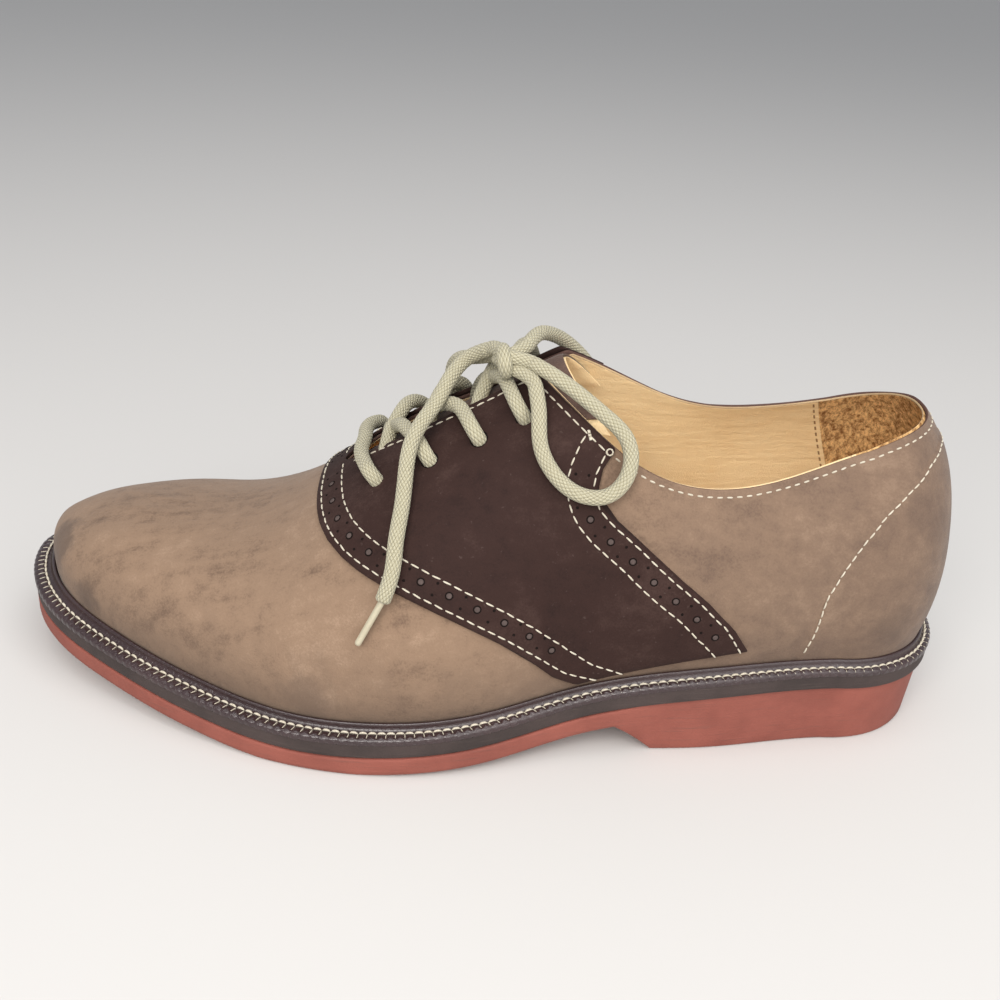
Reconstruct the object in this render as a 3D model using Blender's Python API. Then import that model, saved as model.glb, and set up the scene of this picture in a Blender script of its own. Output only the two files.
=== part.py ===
# Saddle shoe, left foot: the pieces at their real size, in metres, +Z up, toe towards -X,
# outer (lateral) side towards -Y, standing on the floor at z = 0.
import math

import bmesh
import bpy
import numpy as np

# Last: the foot form that upper and sole follow
FEATHER_LENGTH = 0.294    # bottom edge of the upper, heel to toe
BALL_WIDTH = 0.100        # unit of the last's half widths
INSTEP_HEIGHT = 0.116     # closed ridge over the facings' top, above the sole's datum
HEEL_SEAT = 0.028         # feather line above the floor at the heel
COLLAR_HEIGHT = 0.103     # collar above the floor at the back
SIDE_LIFT = 0.012         # from the feather line up to the widest line
SIDE_BULGE = 0.003        # how far the widest line stands out past the feather line
TOE_INFLARE = 0.020       # toe tip towards the inner side
HEEL_CORE = 0.115         # places where the round ends' sections meet
TOE_CORE = 0.80
HEEL_ROUND = 2.15
TOE_ROUND = 2.3
UNDERCUT = 0.12           # share of a section below its widest line

# Upper
WALL = 0.0018
THROAT = 0.655            # place of the throat's front end
FACING_TOP = 0.455        # place of the facings' top corners
THROAT_HALF_GAP = 0.0112
THROAT_ROUND = 0.07       # length share over which the throat widens

# Saddle laid over the upper
SADDLE_THICKNESS = 0.0013
SADDLE_FOOT = 0.45        # its lower edge, just above the welt's lip, as a share of the undercut

# Tongue
TONGUE_THICKNESS = 0.0024
TONGUE_BASE = 0.69        # place of its sewn end, under the vamp
TONGUE_TOP = 0.425        # place of its free end, at the middle
TONGUE_TOP_BEND = 0.045   # how far the free end's corners sweep back
TONGUE_HALF_BASE = 0.20   # half widths as shares round from the ridge
TONGUE_HALF_TOP = 0.36

# Sole
WELT_WIDTH = 0.0074       # welt past the feather line at the forepart
WELT_THICKNESS = 0.0014
WELT_LIP = 0.0039         # storm lip's top above the midsole
LIP_WIDTH = 0.0010
MIDSOLE_THICKNESS = 0.0055
OUTSOLE_THICKNESS = 0.0065
HEEL_INSET = 0.0016       # heel block behind the midsole's edge
HEEL_TAPER = 0.0014       # further inset at the floor
BREAST_TOP = 0.355        # place where the heel's breast meets the waist
BREAST_FOOT = 0.31
EDGE_ROUND = 0.0007
INSOLE_THICKNESS = 0.0038
CLEARANCE = 0.0003        # between neighbouring pieces
CURVED_CLEARANCE = 0.0004
TONGUE_CLEARANCE = 0.0016   # under the facets of the wall above it

# Lace
LACE_DIAMETER = 0.0047
AGLET_DIAMETER = 0.0020
KNOT_CENTRE = (0.4855, -0.130, 0.0118)   # place, share round, height over the last
KNOT_SIZE = (0.0114, 0.0125, 0.0078)     # along, across, high
KNOT_FULLNESS = 2.6
LACE_STEP = 0.0095        # between two points along a cord

# Mesh fineness
TOE_COLUMNS = 8
VAMP_COLUMNS = 5
FACING_COLUMNS = 7
QUARTER_COLUMNS = 9
HEEL_COLUMNS = 7
WALL_ROWS = 10
SADDLE_ROWS = 15
CROSS_RIBS = 2
LACE_ROUNDING = 2         # bevel resolution of a cord

LATERAL_SIDE = -1
MEDIAL_SIDE = 1

# Sections of the last, heel to toe: place along the length, lateral and medial half width of
# BALL_WIDTH, ridge of INSTEP_HEIGHT, feather line of HEEL_SEAT, widest line of SIDE_LIFT, bulge
# of SIDE_BULGE, fullness of the arch over the foot
SECTIONS = np.array([
    [0.00, 0.34, 0.34, 1.00, 1.000, 2.10, 1.2, 2.10],
    [0.12, 0.34, 0.34, 0.95, 0.985, 2.10, 1.2, 2.10],
    [0.25, 0.41, 0.30, 0.93, 0.970, 1.70, 1.1, 2.00],
    [0.40, 0.455, 0.27, 1.04, 0.735, 1.00, 1.0, 1.95],
    [0.50, 0.54, 0.29, 0.905, 0.540, 1.00, 1.0, 1.90],
    [0.60, 0.57, 0.37, 0.745, 0.450, 1.00, 1.0, 2.00],
    [0.70, 0.525, 0.455, 0.555, 0.432, 1.00, 0.9, 2.10],
    [0.80, 0.41, 0.49, 0.465, 0.545, 0.80, 0.7, 2.30],
    [0.90, 0.28, 0.48, 0.455, 0.700, 0.80, 0.4, 2.40],
    [1.00, 0.22, 0.46, 0.42, 0.890, 0.75, 0.2, 2.50],
])
LATERAL, MEDIAL, RIDGE, FEATHER, LIFT, BULGE, FULLNESS = range(1, 8)

# Collar, heel to facings: place, lateral and medial height of COLLAR_HEIGHT
COLLAR = np.array([
    [0.00, 1.015, 1.015],
    [0.10, 0.965, 0.93],
    [0.20, 0.875, 0.89],
    [0.28, 0.85, 0.905],
    [0.36, 0.92, 1.00],
    [0.42, 1.04, 1.085],
    [0.50, 1.145, 1.20],
])
COLLAR_LATERAL, COLLAR_MEDIAL = 1, 2

# Saddle, feather line to top edge: share of the way up, places of its rear and front edges
SADDLE_EDGES = np.array([
    [0.00, 0.221, 0.398],
    [0.10, 0.240, 0.436],
    [0.20, 0.258, 0.481],
    [0.30, 0.274, 0.537],
    [0.40, 0.296, 0.592],
    [0.50, 0.320, 0.630],
    [0.60, 0.344, 0.654],
    [0.75, 0.383, 0.674],
    [0.90, 0.391, 0.681],
    [1.00, 0.378, 0.682],
])
SADDLE_REAR, SADDLE_FRONT = 1, 2

# Welt and sole edge, heel to toe: place, overhang of WELT_WIDTH
SOLE_EDGE = np.array([
    [0.00, 0.66],
    [0.15, 0.67],
    [0.30, 0.78],
    [0.45, 0.82],
    [0.60, 1.00],
    [0.80, 1.00],
    [1.00, 1.00],
])
OVERHANG = 1

# Lace across the throat: place, distance across from the ridge, height over the last. The bar
# is given from one eyelet to the ridge, a crossing from its eyelet to the far facing's edge;
# each has its mirror image on the other side
LACE_BAR = np.array([
    [0.618, 0.0260, 0.0050],
    [0.626, 0.0200, 0.0050],
    [0.633, 0.0130, 0.0050],
    [0.635, 0.0055, 0.0046],
    [0.634, 0.0000, 0.0044],
])
LACE_CROSSINGS = {
    "lace_cross_1": np.array([
        [0.563, -0.0284, 0.0050],
        [0.571, -0.0229, 0.0050],
        [0.584, -0.0148, 0.0050],
        [0.592, -0.0090, 0.0046],
        [0.600, -0.0020, 0.0022],
        [0.606, 0.0030, 0.0010],
        [0.609, 0.0078, -0.0004],
    ]),
    "lace_cross_2": np.array([
        [0.514, -0.0278, 0.0050],
        [0.525, -0.0205, 0.0050],
        [0.536, -0.0135, 0.0050],
        [0.548, -0.0090, 0.0046],
        [0.556, -0.0030, 0.0022],
        [0.561, 0.0030, 0.0010],
        [0.565, 0.0078, -0.0004],
    ]),
    "lace_cross_3": np.array([
        [0.470, -0.0271, 0.0050],
        [0.482, -0.0183, 0.0050],
        [0.490, -0.0110, 0.0050],
        [0.499, -0.0030, 0.0022],
        [0.506, 0.0030, 0.0010],
        [0.513, 0.0078, -0.0004],
    ]),
}

# Free cords from the knot on: place, share round from the ridge (0) to the feather line (1,
# negative on the outer side), height over the last
LACE_CORDS = {
    "lace_loop_near": np.array([
        [0.463, -0.168, 0.0100],
        [0.447, -0.208, 0.0080],
        [0.416, -0.289, 0.0055],
        [0.392, -0.349, 0.0051],
        [0.370, -0.399, 0.0049],
        [0.363, -0.449, 0.0049],
        [0.368, -0.495, 0.0049],
        [0.386, -0.525, 0.0049],
        [0.406, -0.517, 0.0049],
        [0.425, -0.483, 0.0049],
        [0.443, -0.427, 0.0049],
        [0.453, -0.357, 0.0052],
        [0.455, -0.283, 0.0064],
        [0.459, -0.222, 0.0070],
    ]),
    "lace_end_near": np.array([
        [0.505, -0.055, 0.0138],
        [0.534, -0.028, 0.0125],
        [0.550, -0.096, 0.0110],
        [0.566, -0.162, 0.0100],
        [0.577, -0.216, 0.0112],
        [0.582, -0.271, 0.0084],
        [0.584, -0.361, 0.0051],
        [0.588, -0.457, 0.0049],
        [0.591, -0.543, 0.0049],
        [0.598, -0.593, 0.0049],
    ]),
    "lace_loop_far": np.array([
        [0.468, -0.085, 0.0095],
        [0.456, 0.000, 0.0070],
        [0.447, 0.090, 0.0053],
        [0.436, 0.180, 0.0050],
        [0.421, 0.270, 0.0050],
        [0.403, 0.350, 0.0049],
        [0.387, 0.420, 0.0049],
        [0.376, 0.490, 0.0049],
        [0.380, 0.555, 0.0049],
        [0.400, 0.575, 0.0049],
        [0.421, 0.530, 0.0049],
        [0.439, 0.440, 0.0049],
        [0.451, 0.340, 0.0050],
        [0.465, 0.150, 0.0056],
        [0.478, -0.045, 0.0058],
    ]),
    "lace_end_far": np.array([
        [0.503, -0.010, 0.0090],
        [0.520, 0.080, 0.0098],
        [0.534, 0.150, 0.0118],
        [0.543, 0.220, 0.0118],
        [0.544, 0.290, 0.0088],
        [0.541, 0.360, 0.0052],
        [0.543, 0.440, 0.0049],
        [0.547, 0.520, 0.0049],
        [0.554, 0.580, 0.0049],
        [0.563, 0.620, 0.0049],
    ]),
}
# Tip of each aglet, measured the same way, under the cord that it ends
AGLET_TIPS = {
    "lace_end_near": (0.621, -0.693, 0.0030),
    "lace_end_far": (0.592, 0.710, 0.0030),
}

COLOURS = {
    "outsole": (0.46, 0.15, 0.10), "midsole": (0.13, 0.105, 0.095), "welt": (0.045, 0.022, 0.024),
    "upper": (0.36, 0.25, 0.18), "saddle": (0.055, 0.028, 0.024), "tongue": (0.30, 0.21, 0.15),
    "insole": (0.75, 0.52, 0.25), "lace": (0.70, 0.64, 0.43), "aglet": (0.72, 0.68, 0.55),
}


def spline_bends(table):
    # second derivatives of the natural cubic spline through each column
    place, value = table[:, 0], table[:, 1:]
    step = np.diff(place)
    matrix = np.eye(len(place))
    right = np.zeros(value.shape)
    for i in range(1, len(place) - 1):
        matrix[i, i - 1:i + 2] = step[i - 1], 2 * (step[i - 1] + step[i]), step[i]
        right[i] = 6 * ((value[i + 1] - value[i]) / step[i] - (value[i] - value[i - 1]) / step[i - 1])
    return np.linalg.solve(matrix, right)


def read(table, column, where):
    # one column of a table at any places, along its spline
    place, value = table[:, 0], table[:, column]
    bend = spline_bends(table)[:, column - 1]
    where = np.clip(where, place[0], place[-1])
    i = np.clip(np.searchsorted(place, where) - 1, 0, len(place) - 2)
    step = place[i + 1] - place[i]
    low = (place[i + 1] - where) / step
    high = (where - place[i]) / step
    curve = (low**3 - low) * bend[i] + (high**3 - high) * bend[i + 1]
    return low * value[i] + high * value[i + 1] + curve * step**2 / 6


def place_x(place):
    return FEATHER_LENGTH * (0.5 - place)


def centre_y(place):
    # middle line of the toe, swung towards the inner side
    swing = np.clip((place - 0.72) / 0.28, 0, 1)
    return TOE_INFLARE * swing**2


# The way round the shoe is measured by u: 0 at the toe tip, 1 at the middle of the heel, with
# the straight-sided part between these two values
U_TOE = 0.25
U_HEEL = 0.80


def place_u(place):
    return U_TOE + (U_HEEL - U_TOE) * (TOE_CORE - place) / (TOE_CORE - HEEL_CORE)


def feather(side, u):
    # feather line on one side: x, y and place
    u = np.asarray(u, float)
    toe_turn = np.clip(1 - u / U_TOE, 0, 1) * math.pi / 2
    toe_place = TOE_CORE + (1 - TOE_CORE) * np.sin(toe_turn) ** (2 / TOE_ROUND)
    mid_place = TOE_CORE + (HEEL_CORE - TOE_CORE) * (u - U_TOE) / (U_HEEL - U_TOE)
    place = np.where(u < U_TOE, toe_place, mid_place)
    closing = np.where(u < U_TOE, np.cos(toe_turn), 1.0)
    width = BALL_WIDTH * read(SECTIONS, LATERAL if side < 0 else MEDIAL, place)
    middle = centre_y(place)
    y = middle + side * (width - side * middle) * closing
    heel_turn = np.clip((u - U_HEEL) / (1 - U_HEEL), 0, 1) * math.pi / 2
    heel_half = BALL_WIDTH * read(SECTIONS, LATERAL if side < 0 else MEDIAL, np.array(HEEL_CORE))
    heel_x = place_x(HEEL_CORE) + HEEL_CORE * FEATHER_LENGTH * np.sin(heel_turn) ** (2 / HEEL_ROUND)
    heel_y = side * heel_half * np.cos(heel_turn) ** (2 / HEEL_ROUND)
    x = np.where(u < U_HEEL, place_x(place), heel_x)
    y = np.where(u < U_HEEL, y, heel_y)
    return x, y, 0.5 - x / FEATHER_LENGTH


def foot_height(place):
    return HEEL_SEAT * read(SECTIONS, FEATHER, place)


def section(side, u):
    # one section of the last: its core, its direction, its reach and its table values
    x, y, place = feather(side, u)
    held = np.clip(place, HEEL_CORE, TOE_CORE)
    core_x, core_y = place_x(held), centre_y(held)
    reach = np.hypot(x - core_x, y - core_y)
    return {
        "place": place, "core_x": core_x, "core_y": core_y, "reach": reach,
        "dir_x": (x - core_x) / reach, "dir_y": (y - core_y) / reach,
        "foot": foot_height(place), "lift": SIDE_LIFT * read(SECTIONS, LIFT, place),
        "bulge": SIDE_BULGE * read(SECTIONS, BULGE, place),
        "ridge": INSTEP_HEIGHT * read(SECTIONS, RIDGE, place),
        "fullness": read(SECTIONS, FULLNESS, place),
    }


def last_point(side, u, t, grow=0.0):
    # point on the last grown by some thickness; t runs up a section, 0 at the feather line and
    # 1 on the closed ridge
    u, t = np.broadcast_arrays(np.asarray(u, float), np.asarray(t, float))
    s = section(side, u)
    under = np.clip(t / UNDERCUT, 0, 1)
    turn = np.clip((t - UNDERCUT) / (1 - UNDERCUT), 0, 1) * math.pi / 2
    bow = 2 / s["fullness"]
    low = s["reach"] + s["bulge"] * (1 - (1 - under) ** 2) + grow
    high = (s["reach"] + s["bulge"] + grow) * np.cos(turn) ** bow
    out = np.where(t < UNDERCUT, low, high)
    x = s["core_x"] + s["dir_x"] * out
    y = s["core_y"] + s["dir_y"] * out
    # over the toe cap the ridge follows each point's own place, so the cap is one surface
    own_ridge = INSTEP_HEIGHT * read(SECTIONS, RIDGE, 0.5 - x / FEATHER_LENGTH)
    ridge = np.where(s["place"] > TOE_CORE, own_ridge, s["ridge"]) + grow
    base = s["foot"] + s["lift"]
    z = s["foot"] + CLEARANCE + (s["lift"] - CLEARANCE) * under + (ridge - base) * np.sin(turn) ** bow
    return np.stack([x, y, z], -1)


def turn_share(turn):
    return UNDERCUT + (1 - UNDERCUT) * turn / (math.pi / 2)


def share_at_y(side, u, y, grow=0.0):
    # t at which a section is y away from the core line
    s = section(side, u)
    ratio = np.clip(np.abs(y) / (s["reach"] + s["bulge"] + grow), 0, 1)
    return turn_share(np.arccos(ratio ** (s["fullness"] / 2)))


def top_share(side, u, grow=0.0):
    # t of the upper's top edge: ridge over the toe, facing edge along the throat, then the collar
    s = section(side, u)
    gap = THROAT_HALF_GAP * np.clip((THROAT - s["place"]) / THROAT_ROUND, 0, 1) ** 0.5
    facing = share_at_y(side, u, gap, grow)
    column = COLLAR_LATERAL if side < 0 else COLLAR_MEDIAL
    rim = COLLAR_HEIGHT * read(COLLAR, column, s["place"]) - s["foot"] - s["lift"]
    share = np.clip(rim / (s["ridge"] + grow - s["foot"] - s["lift"]), 0, 1)
    collar = turn_share(np.arcsin(share ** (s["fullness"] / 2)))
    open_top = np.where(s["place"] > FACING_TOP, facing, np.minimum(collar, facing))
    return np.where(s["place"] >= THROAT, 1.0, open_top)


def edge_point(side, u, overhang):
    # feather line moved out along its normal; overhang may vary along u
    u = np.asarray(u, float)
    x, y, place = feather(side, u)
    before = feather(side, np.clip(u - 1e-4, 0, 1))
    after = feather(side, np.clip(u + 1e-4, 0, 1))
    along_x, along_y = after[0] - before[0], after[1] - before[1]
    length = np.hypot(along_x, along_y)
    out_x = -side * along_y / length
    out_y = side * along_x / length
    end = (u <= 0) | (u >= 1)
    out_x = np.where(end, np.where(u <= 0, -1.0, 1.0), out_x)
    out_y = np.where(end, 0.0, out_y)
    return x + out_x * overhang, y + out_y * overhang, place


def sole_overhang(place):
    return WELT_WIDTH * read(SOLE_EDGE, OVERHANG, place)


def round_u():
    # columns round one side, with one on each end of the throat and of the facings
    throat, facing = place_u(THROAT), place_u(FACING_TOP)
    widened = place_u(THROAT - 0.4 * THROAT_ROUND)
    runs = [
        np.linspace(0, U_TOE, TOE_COLUMNS, endpoint=False),
        np.linspace(U_TOE, throat, VAMP_COLUMNS, endpoint=False),
        np.array([throat]),
        np.linspace(widened, facing, FACING_COLUMNS, endpoint=False),
        np.linspace(facing, U_HEEL, QUARTER_COLUMNS, endpoint=False),
        np.linspace(U_HEEL, 1, HEEL_COLUMNS + 1),
    ]
    return np.concatenate(runs)


def sole_u():
    # columns round one side of the sole, with one at each end of the heel's breast
    breast = [place_u(BREAST_TOP), place_u(BREAST_FOOT)]
    runs = [
        np.linspace(0, U_TOE, TOE_COLUMNS + 1, endpoint=False),
        np.linspace(U_TOE, breast[0], VAMP_COLUMNS + FACING_COLUMNS + 2, endpoint=False),
        np.array(breast),
        np.linspace(breast[1], U_HEEL, QUARTER_COLUMNS - 3)[1:-1],
        np.linspace(U_HEEL, 1, HEEL_COLUMNS + 1),
    ]
    return np.concatenate(runs)


def frame_shift():
    # the middle of the sole's outline goes to the origin
    u = np.linspace(0, 1, 2001)
    corners = []
    for side in (LATERAL_SIDE, MEDIAL_SIDE):
        x, y, place = edge_point(side, u, 0.0)
        x, y, place = edge_point(side, u, sole_overhang(place))
        corners.append([x.min(), x.max(), y.min(), y.max()])
    low_x, high_x = min(c[0] for c in corners), max(c[1] for c in corners)
    low_y, high_y = min(c[2] for c in corners), max(c[3] for c in corners)
    return np.array([-(low_x + high_x) / 2, -(low_y + high_y) / 2, 0.0])


def material(name, colour, roughness):
    made = bpy.data.materials.new(name)
    made.use_nodes = True
    surface = made.node_tree.nodes["Principled BSDF"]
    surface.inputs["Base Color"].default_value = (*colour, 1.0)
    surface.inputs["Roughness"].default_value = roughness
    return made


def add_solid(name, points, faces, look, sharp=40.0):
    # one closed body from points and faces; points that coincide are welded
    mesh = bpy.data.meshes.new(name)
    shifted = np.asarray(points, float) + SHIFT
    mesh.from_pydata([tuple(p) for p in shifted], [], [tuple(f) for f in faces])
    body = bmesh.new()
    body.from_mesh(mesh)
    bmesh.ops.remove_doubles(body, verts=body.verts, dist=1e-6)
    bmesh.ops.dissolve_degenerate(body, edges=body.edges, dist=1e-6)
    bmesh.ops.recalc_face_normals(body, faces=body.faces)
    bmesh.ops.triangulate(body, faces=body.faces)
    body.to_mesh(mesh)
    body.free()
    mesh.shade_smooth()
    mesh.set_sharp_from_angle(angle=math.radians(sharp))
    mesh.materials.append(look)
    solid = bpy.data.objects.new(name, mesh)
    bpy.context.scene.collection.objects.link(solid)
    return solid


def strip_faces(first, second, closed):
    # quads between two rows of point numbers
    count = len(first) if closed else len(first) - 1
    faces = []
    for i in range(count):
        j = (i + 1) % len(first)
        faces.append((first[i], first[j], second[j], second[i]))
    return faces


def shell(name, sides, look):
    # a wall made of columns: each side is a dictionary with its outer and inner grids, as
    # column by row by 3, and the columns whose tops meet the other side at the ridge
    points, faces = [], []
    for side in sides:
        outer, inner = side["outer"], side["inner"]
        columns, rows = outer.shape[:2]
        start = len(points)
        ring = np.concatenate([outer, inner[:, ::-1]], axis=1)
        points.extend(ring.reshape(-1, 3))
        number = start + np.arange(columns * 2 * rows).reshape(columns, 2 * rows)
        for i in range(columns - 1):
            for j in range(2 * rows):
                k = (j + 1) % (2 * rows)
                if j == rows - 1 and side["closed"][i] and side["closed"][i + 1]:
                    continue
                faces.append((number[i, j], number[i + 1, j], number[i + 1, k], number[i, k]))
        if side["ends"]:
            for i in (0, columns - 1):
                for j in range(rows - 1):
                    a, b = number[i, j], number[i, j + 1]
                    c, d = number[i, 2 * rows - 2 - j], number[i, 2 * rows - 1 - j]
                    faces.append((a, b, c, d))
    return add_solid(name, points, faces, look)


def plate(name, rings, u, look):
    # a sole layer: rings from its top to its underside, each a pair of point rows, lateral and
    # medial; ribs across close the first and the last ring
    points, faces, loops = [], [], []
    for lateral, medial in rings:
        start = len(points)
        loop = np.concatenate([lateral, medial[-2:0:-1]])
        points.extend(loop)
        loops.append(list(range(start, start + len(loop))))
    for upper, lower in zip(loops, loops[1:]):
        faces.extend(strip_faces(upper, lower, True))
    for lateral, medial in (rings[0], rings[-1]):
        start = len(points)
        across = np.linspace(0, 1, CROSS_RIBS + 1)[None, :, None]
        ribs = lateral[:, None] * (1 - across) + medial[:, None] * across
        points.extend(ribs.reshape(-1, 3))
        number = start + np.arange(len(u) * (CROSS_RIBS + 1)).reshape(len(u), CROSS_RIBS + 1)
        for i in range(len(u) - 1):
            faces.extend(strip_faces(list(number[i]), list(number[i + 1]), False))
    return add_solid(name, points, faces, look)


def ring(u, overhang, height):
    # one ring of a sole layer: overhang and height are functions of the place
    pair = []
    for side in (LATERAL_SIDE, MEDIAL_SIDE):
        place = feather(side, u)[2]
        x, y, _ = edge_point(side, u, overhang(place))
        pair.append(np.stack([x, y, height(place)], -1))
    return tuple(pair)


def midsole_top(place):
    return foot_height(place)


def midsole_base(place):
    return foot_height(place) - MIDSOLE_THICKNESS


def outsole_top(place):
    return midsole_base(place) - CLEARANCE


def tread_height(place):
    # underside of the outsole: on the floor at the ball, raised at the toe and through the waist
    return np.maximum(outsole_top(place) - OUTSOLE_THICKNESS, 0.0)


def outsole_base(place):
    # the heel block stands on the floor behind its sloping breast
    slope = np.clip((place - BREAST_FOOT) / (BREAST_TOP - BREAST_FOOT), 0, 1)
    return tread_height(place) * slope


def heel_share(place):
    # 1 along the heel block, 0 ahead of its breast
    return np.clip((BREAST_TOP - place) / (BREAST_TOP - BREAST_FOOT), 0, 1)


def make_outsole():
    u = sole_u()

    def top_edge(place):
        return sole_overhang(place) - HEEL_INSET * heel_share(place)

    def base_edge(place):
        return top_edge(place) - HEEL_TAPER * heel_share(place)

    rings = [
        ring(u, lambda p: top_edge(p) - EDGE_ROUND, outsole_top),
        ring(u, top_edge, lambda p: outsole_top(p) - EDGE_ROUND),
        ring(u, base_edge, lambda p: outsole_base(p) + 2 * EDGE_ROUND),
        ring(u, lambda p: base_edge(p) - 2 * EDGE_ROUND, outsole_base),
    ]
    return plate("outsole", rings, u, LOOKS["outsole"])


def make_midsole():
    u = sole_u()
    rings = [
        ring(u, lambda p: sole_overhang(p) - EDGE_ROUND, midsole_top),
        ring(u, sole_overhang, lambda p: midsole_top(p) - EDGE_ROUND),
        ring(u, sole_overhang, lambda p: midsole_base(p) + EDGE_ROUND),
        ring(u, lambda p: sole_overhang(p) - EDGE_ROUND, midsole_base),
    ]
    return plate("midsole", rings, u, LOOKS["midsole"])


def make_insole():
    u = sole_u()

    def edge(place):
        return np.full(np.shape(place), -(WALL + CURVED_CLEARANCE))

    rings = [
        ring(u, lambda p: edge(p) - EDGE_ROUND, lambda p: foot_height(p) + CLEARANCE + INSOLE_THICKNESS),
        ring(u, edge, lambda p: foot_height(p) + CLEARANCE + INSOLE_THICKNESS - EDGE_ROUND),
        ring(u, edge, lambda p: foot_height(p) + CLEARANCE),
    ]
    return plate("insole", rings, u, LOOKS["insole"])


def make_welt():
    # a strip round the whole shoe: flat shelf on the midsole, lip raised against the upper
    u = sole_u()
    points, faces = [], []
    columns = []
    for side in (LATERAL_SIDE, MEDIAL_SIDE):
        s = section(side, u)

        def against_upper(height, grow):
            share = UNDERCUT * (height - CLEARANCE) / (s["lift"] - CLEARANCE)
            return last_point(side, u, share, grow + CURVED_CLEARANCE)

        def edge(inset, height):
            x, y, place = edge_point(side, u, sole_overhang(s["place"]) - inset)
            return np.stack([x, y, s["foot"] + height], -1)

        shelf = CLEARANCE + WELT_THICKNESS
        profile = [
            against_upper(CLEARANCE, 0.0),
            against_upper((CLEARANCE + WELT_LIP) / 2, 0.0),
            against_upper(WELT_LIP, 0.0),
            against_upper(WELT_LIP - 0.1 * LIP_WIDTH, LIP_WIDTH),
            against_upper(shelf, 2.2 * LIP_WIDTH),
            edge(EDGE_ROUND, shelf),
            edge(0.0, shelf - EDGE_ROUND),
            edge(0.0, CLEARANCE),
        ]
        grid = np.stack(profile, 1)
        columns.append(grid if side < 0 else grid[-2:0:-1])
    grid = np.concatenate(columns)
    count, rows = grid.shape[:2]
    points.extend(grid.reshape(-1, 3))
    for i in range(count):
        for j in range(rows):
            k, m = (i + 1) % count, (j + 1) % rows
            faces.append((i * rows + j, k * rows + j, k * rows + m, i * rows + m))
    return add_solid("welt", points, faces, LOOKS["welt"])


def wall_rows():
    # shares up a section: two rows in the undercut, the rest up to the top edge
    low = np.array([0.0, 0.5])
    return low, np.linspace(0, 1, WALL_ROWS + 1)


def upper_grid(side, u, grow):
    top = top_share(side, u, grow)
    low, high = wall_rows()
    t_low = np.broadcast_to(low * UNDERCUT, (len(u), 2))
    t_high = UNDERCUT + (top[:, None] - UNDERCUT) * high
    return last_point(side, u[:, None], np.concatenate([t_low, t_high], 1), grow)


def make_upper():
    u = round_u()
    sides = []
    for side in (LATERAL_SIDE, MEDIAL_SIDE):
        closed = section(side, u)["place"] >= THROAT - 1e-9
        outer, inner = upper_grid(side, u, 0.0), upper_grid(side, u, -WALL)
        sides.append({"outer": outer, "inner": inner, "closed": closed, "ends": False})
    return shell("upper", sides, LOOKS["upper"])


def saddle_columns():
    # shares from the rear edge to the front edge, with one at the corner and one at the throat
    rear = read(SADDLE_EDGES, SADDLE_REAR, np.array(1.0))
    front = read(SADDLE_EDGES, SADDLE_FRONT, np.array(1.0))
    corner = (FACING_TOP - rear) / (front - rear)
    throat = (THROAT - rear) / (front - rear)
    widened = (THROAT - 0.4 * THROAT_ROUND - rear) / (front - rear)
    return np.concatenate([
        np.linspace(0, corner, 4, endpoint=False),
        np.linspace(corner, widened, 10),
        np.linspace(throat, 1, 4),
    ])


def saddle_grid(side, across, grow):
    up = np.linspace(0, 1, SADDLE_ROWS)
    lead = across[:, None]
    rear = read(SADDLE_EDGES, SADDLE_REAR, up)
    front = read(SADDLE_EDGES, SADDLE_FRONT, up)
    place = rear * (1 - lead) + front * lead
    top = top_share(side, place_u(place[:, -1]), grow)
    lowest = SADDLE_FOOT * UNDERCUT
    t = lowest + (top[:, None] - lowest) * up
    return last_point(side, place_u(place), t, grow)


def make_saddle():
    across = saddle_columns()
    sides = []
    for side in (LATERAL_SIDE, MEDIAL_SIDE):
        inner = saddle_grid(side, across, CURVED_CLEARANCE)
        outer = saddle_grid(side, across, CURVED_CLEARANCE + SADDLE_THICKNESS)
        tops = read(SADDLE_EDGES, SADDLE_REAR, np.array(1.0)) * (1 - across)
        tops = tops + read(SADDLE_EDGES, SADDLE_FRONT, np.array(1.0)) * across
        sides.append({"outer": outer, "inner": inner, "closed": tops >= THROAT - 1e-9, "ends": True})
    return shell("saddle", sides, LOOKS["saddle"])


def tongue_grid(grow):
    # rows from the sewn end to the free end, across from the lateral to the medial edge
    along = np.linspace(0, 1, 15)[:, None]
    across = np.linspace(-1, 1, 13)[None, :]
    half = TONGUE_HALF_BASE + (TONGUE_HALF_TOP - TONGUE_HALF_BASE) * along
    end = TONGUE_TOP - TONGUE_TOP_BEND * across**2
    place = TONGUE_BASE + (end - TONGUE_BASE) * along
    share = 1 - half * np.abs(across)
    u = place_u(place)
    lateral = last_point(LATERAL_SIDE, u, share, grow)
    medial = last_point(MEDIAL_SIDE, u, share, grow)
    return np.where((across < 0)[..., None], lateral, medial)


def make_tongue():
    outer_grow = -(WALL + TONGUE_CLEARANCE)
    outer = tongue_grid(outer_grow)
    inner = tongue_grid(outer_grow - TONGUE_THICKNESS)
    rows, columns = outer.shape[:2]
    side = {"outer": outer, "inner": inner, "closed": np.zeros(rows, bool), "ends": True}
    return shell("tongue", [side], LOOKS["tongue"])


def over_ridge(row):
    # point near the ridge from its place, its distance across and its height over the last
    place, y, lift = row
    side = LATERAL_SIDE if y < 0 else MEDIAL_SIDE
    u = place_u(place)
    return last_point(side, u, share_at_y(side, u, y, lift), lift)


def round_side(row):
    # point from its place, its share round from the ridge and its height over the last
    place, share, lift = row
    side = LATERAL_SIDE if share < 0 else MEDIAL_SIDE
    return last_point(side, place_u(place), 1 - abs(share), lift)


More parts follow.
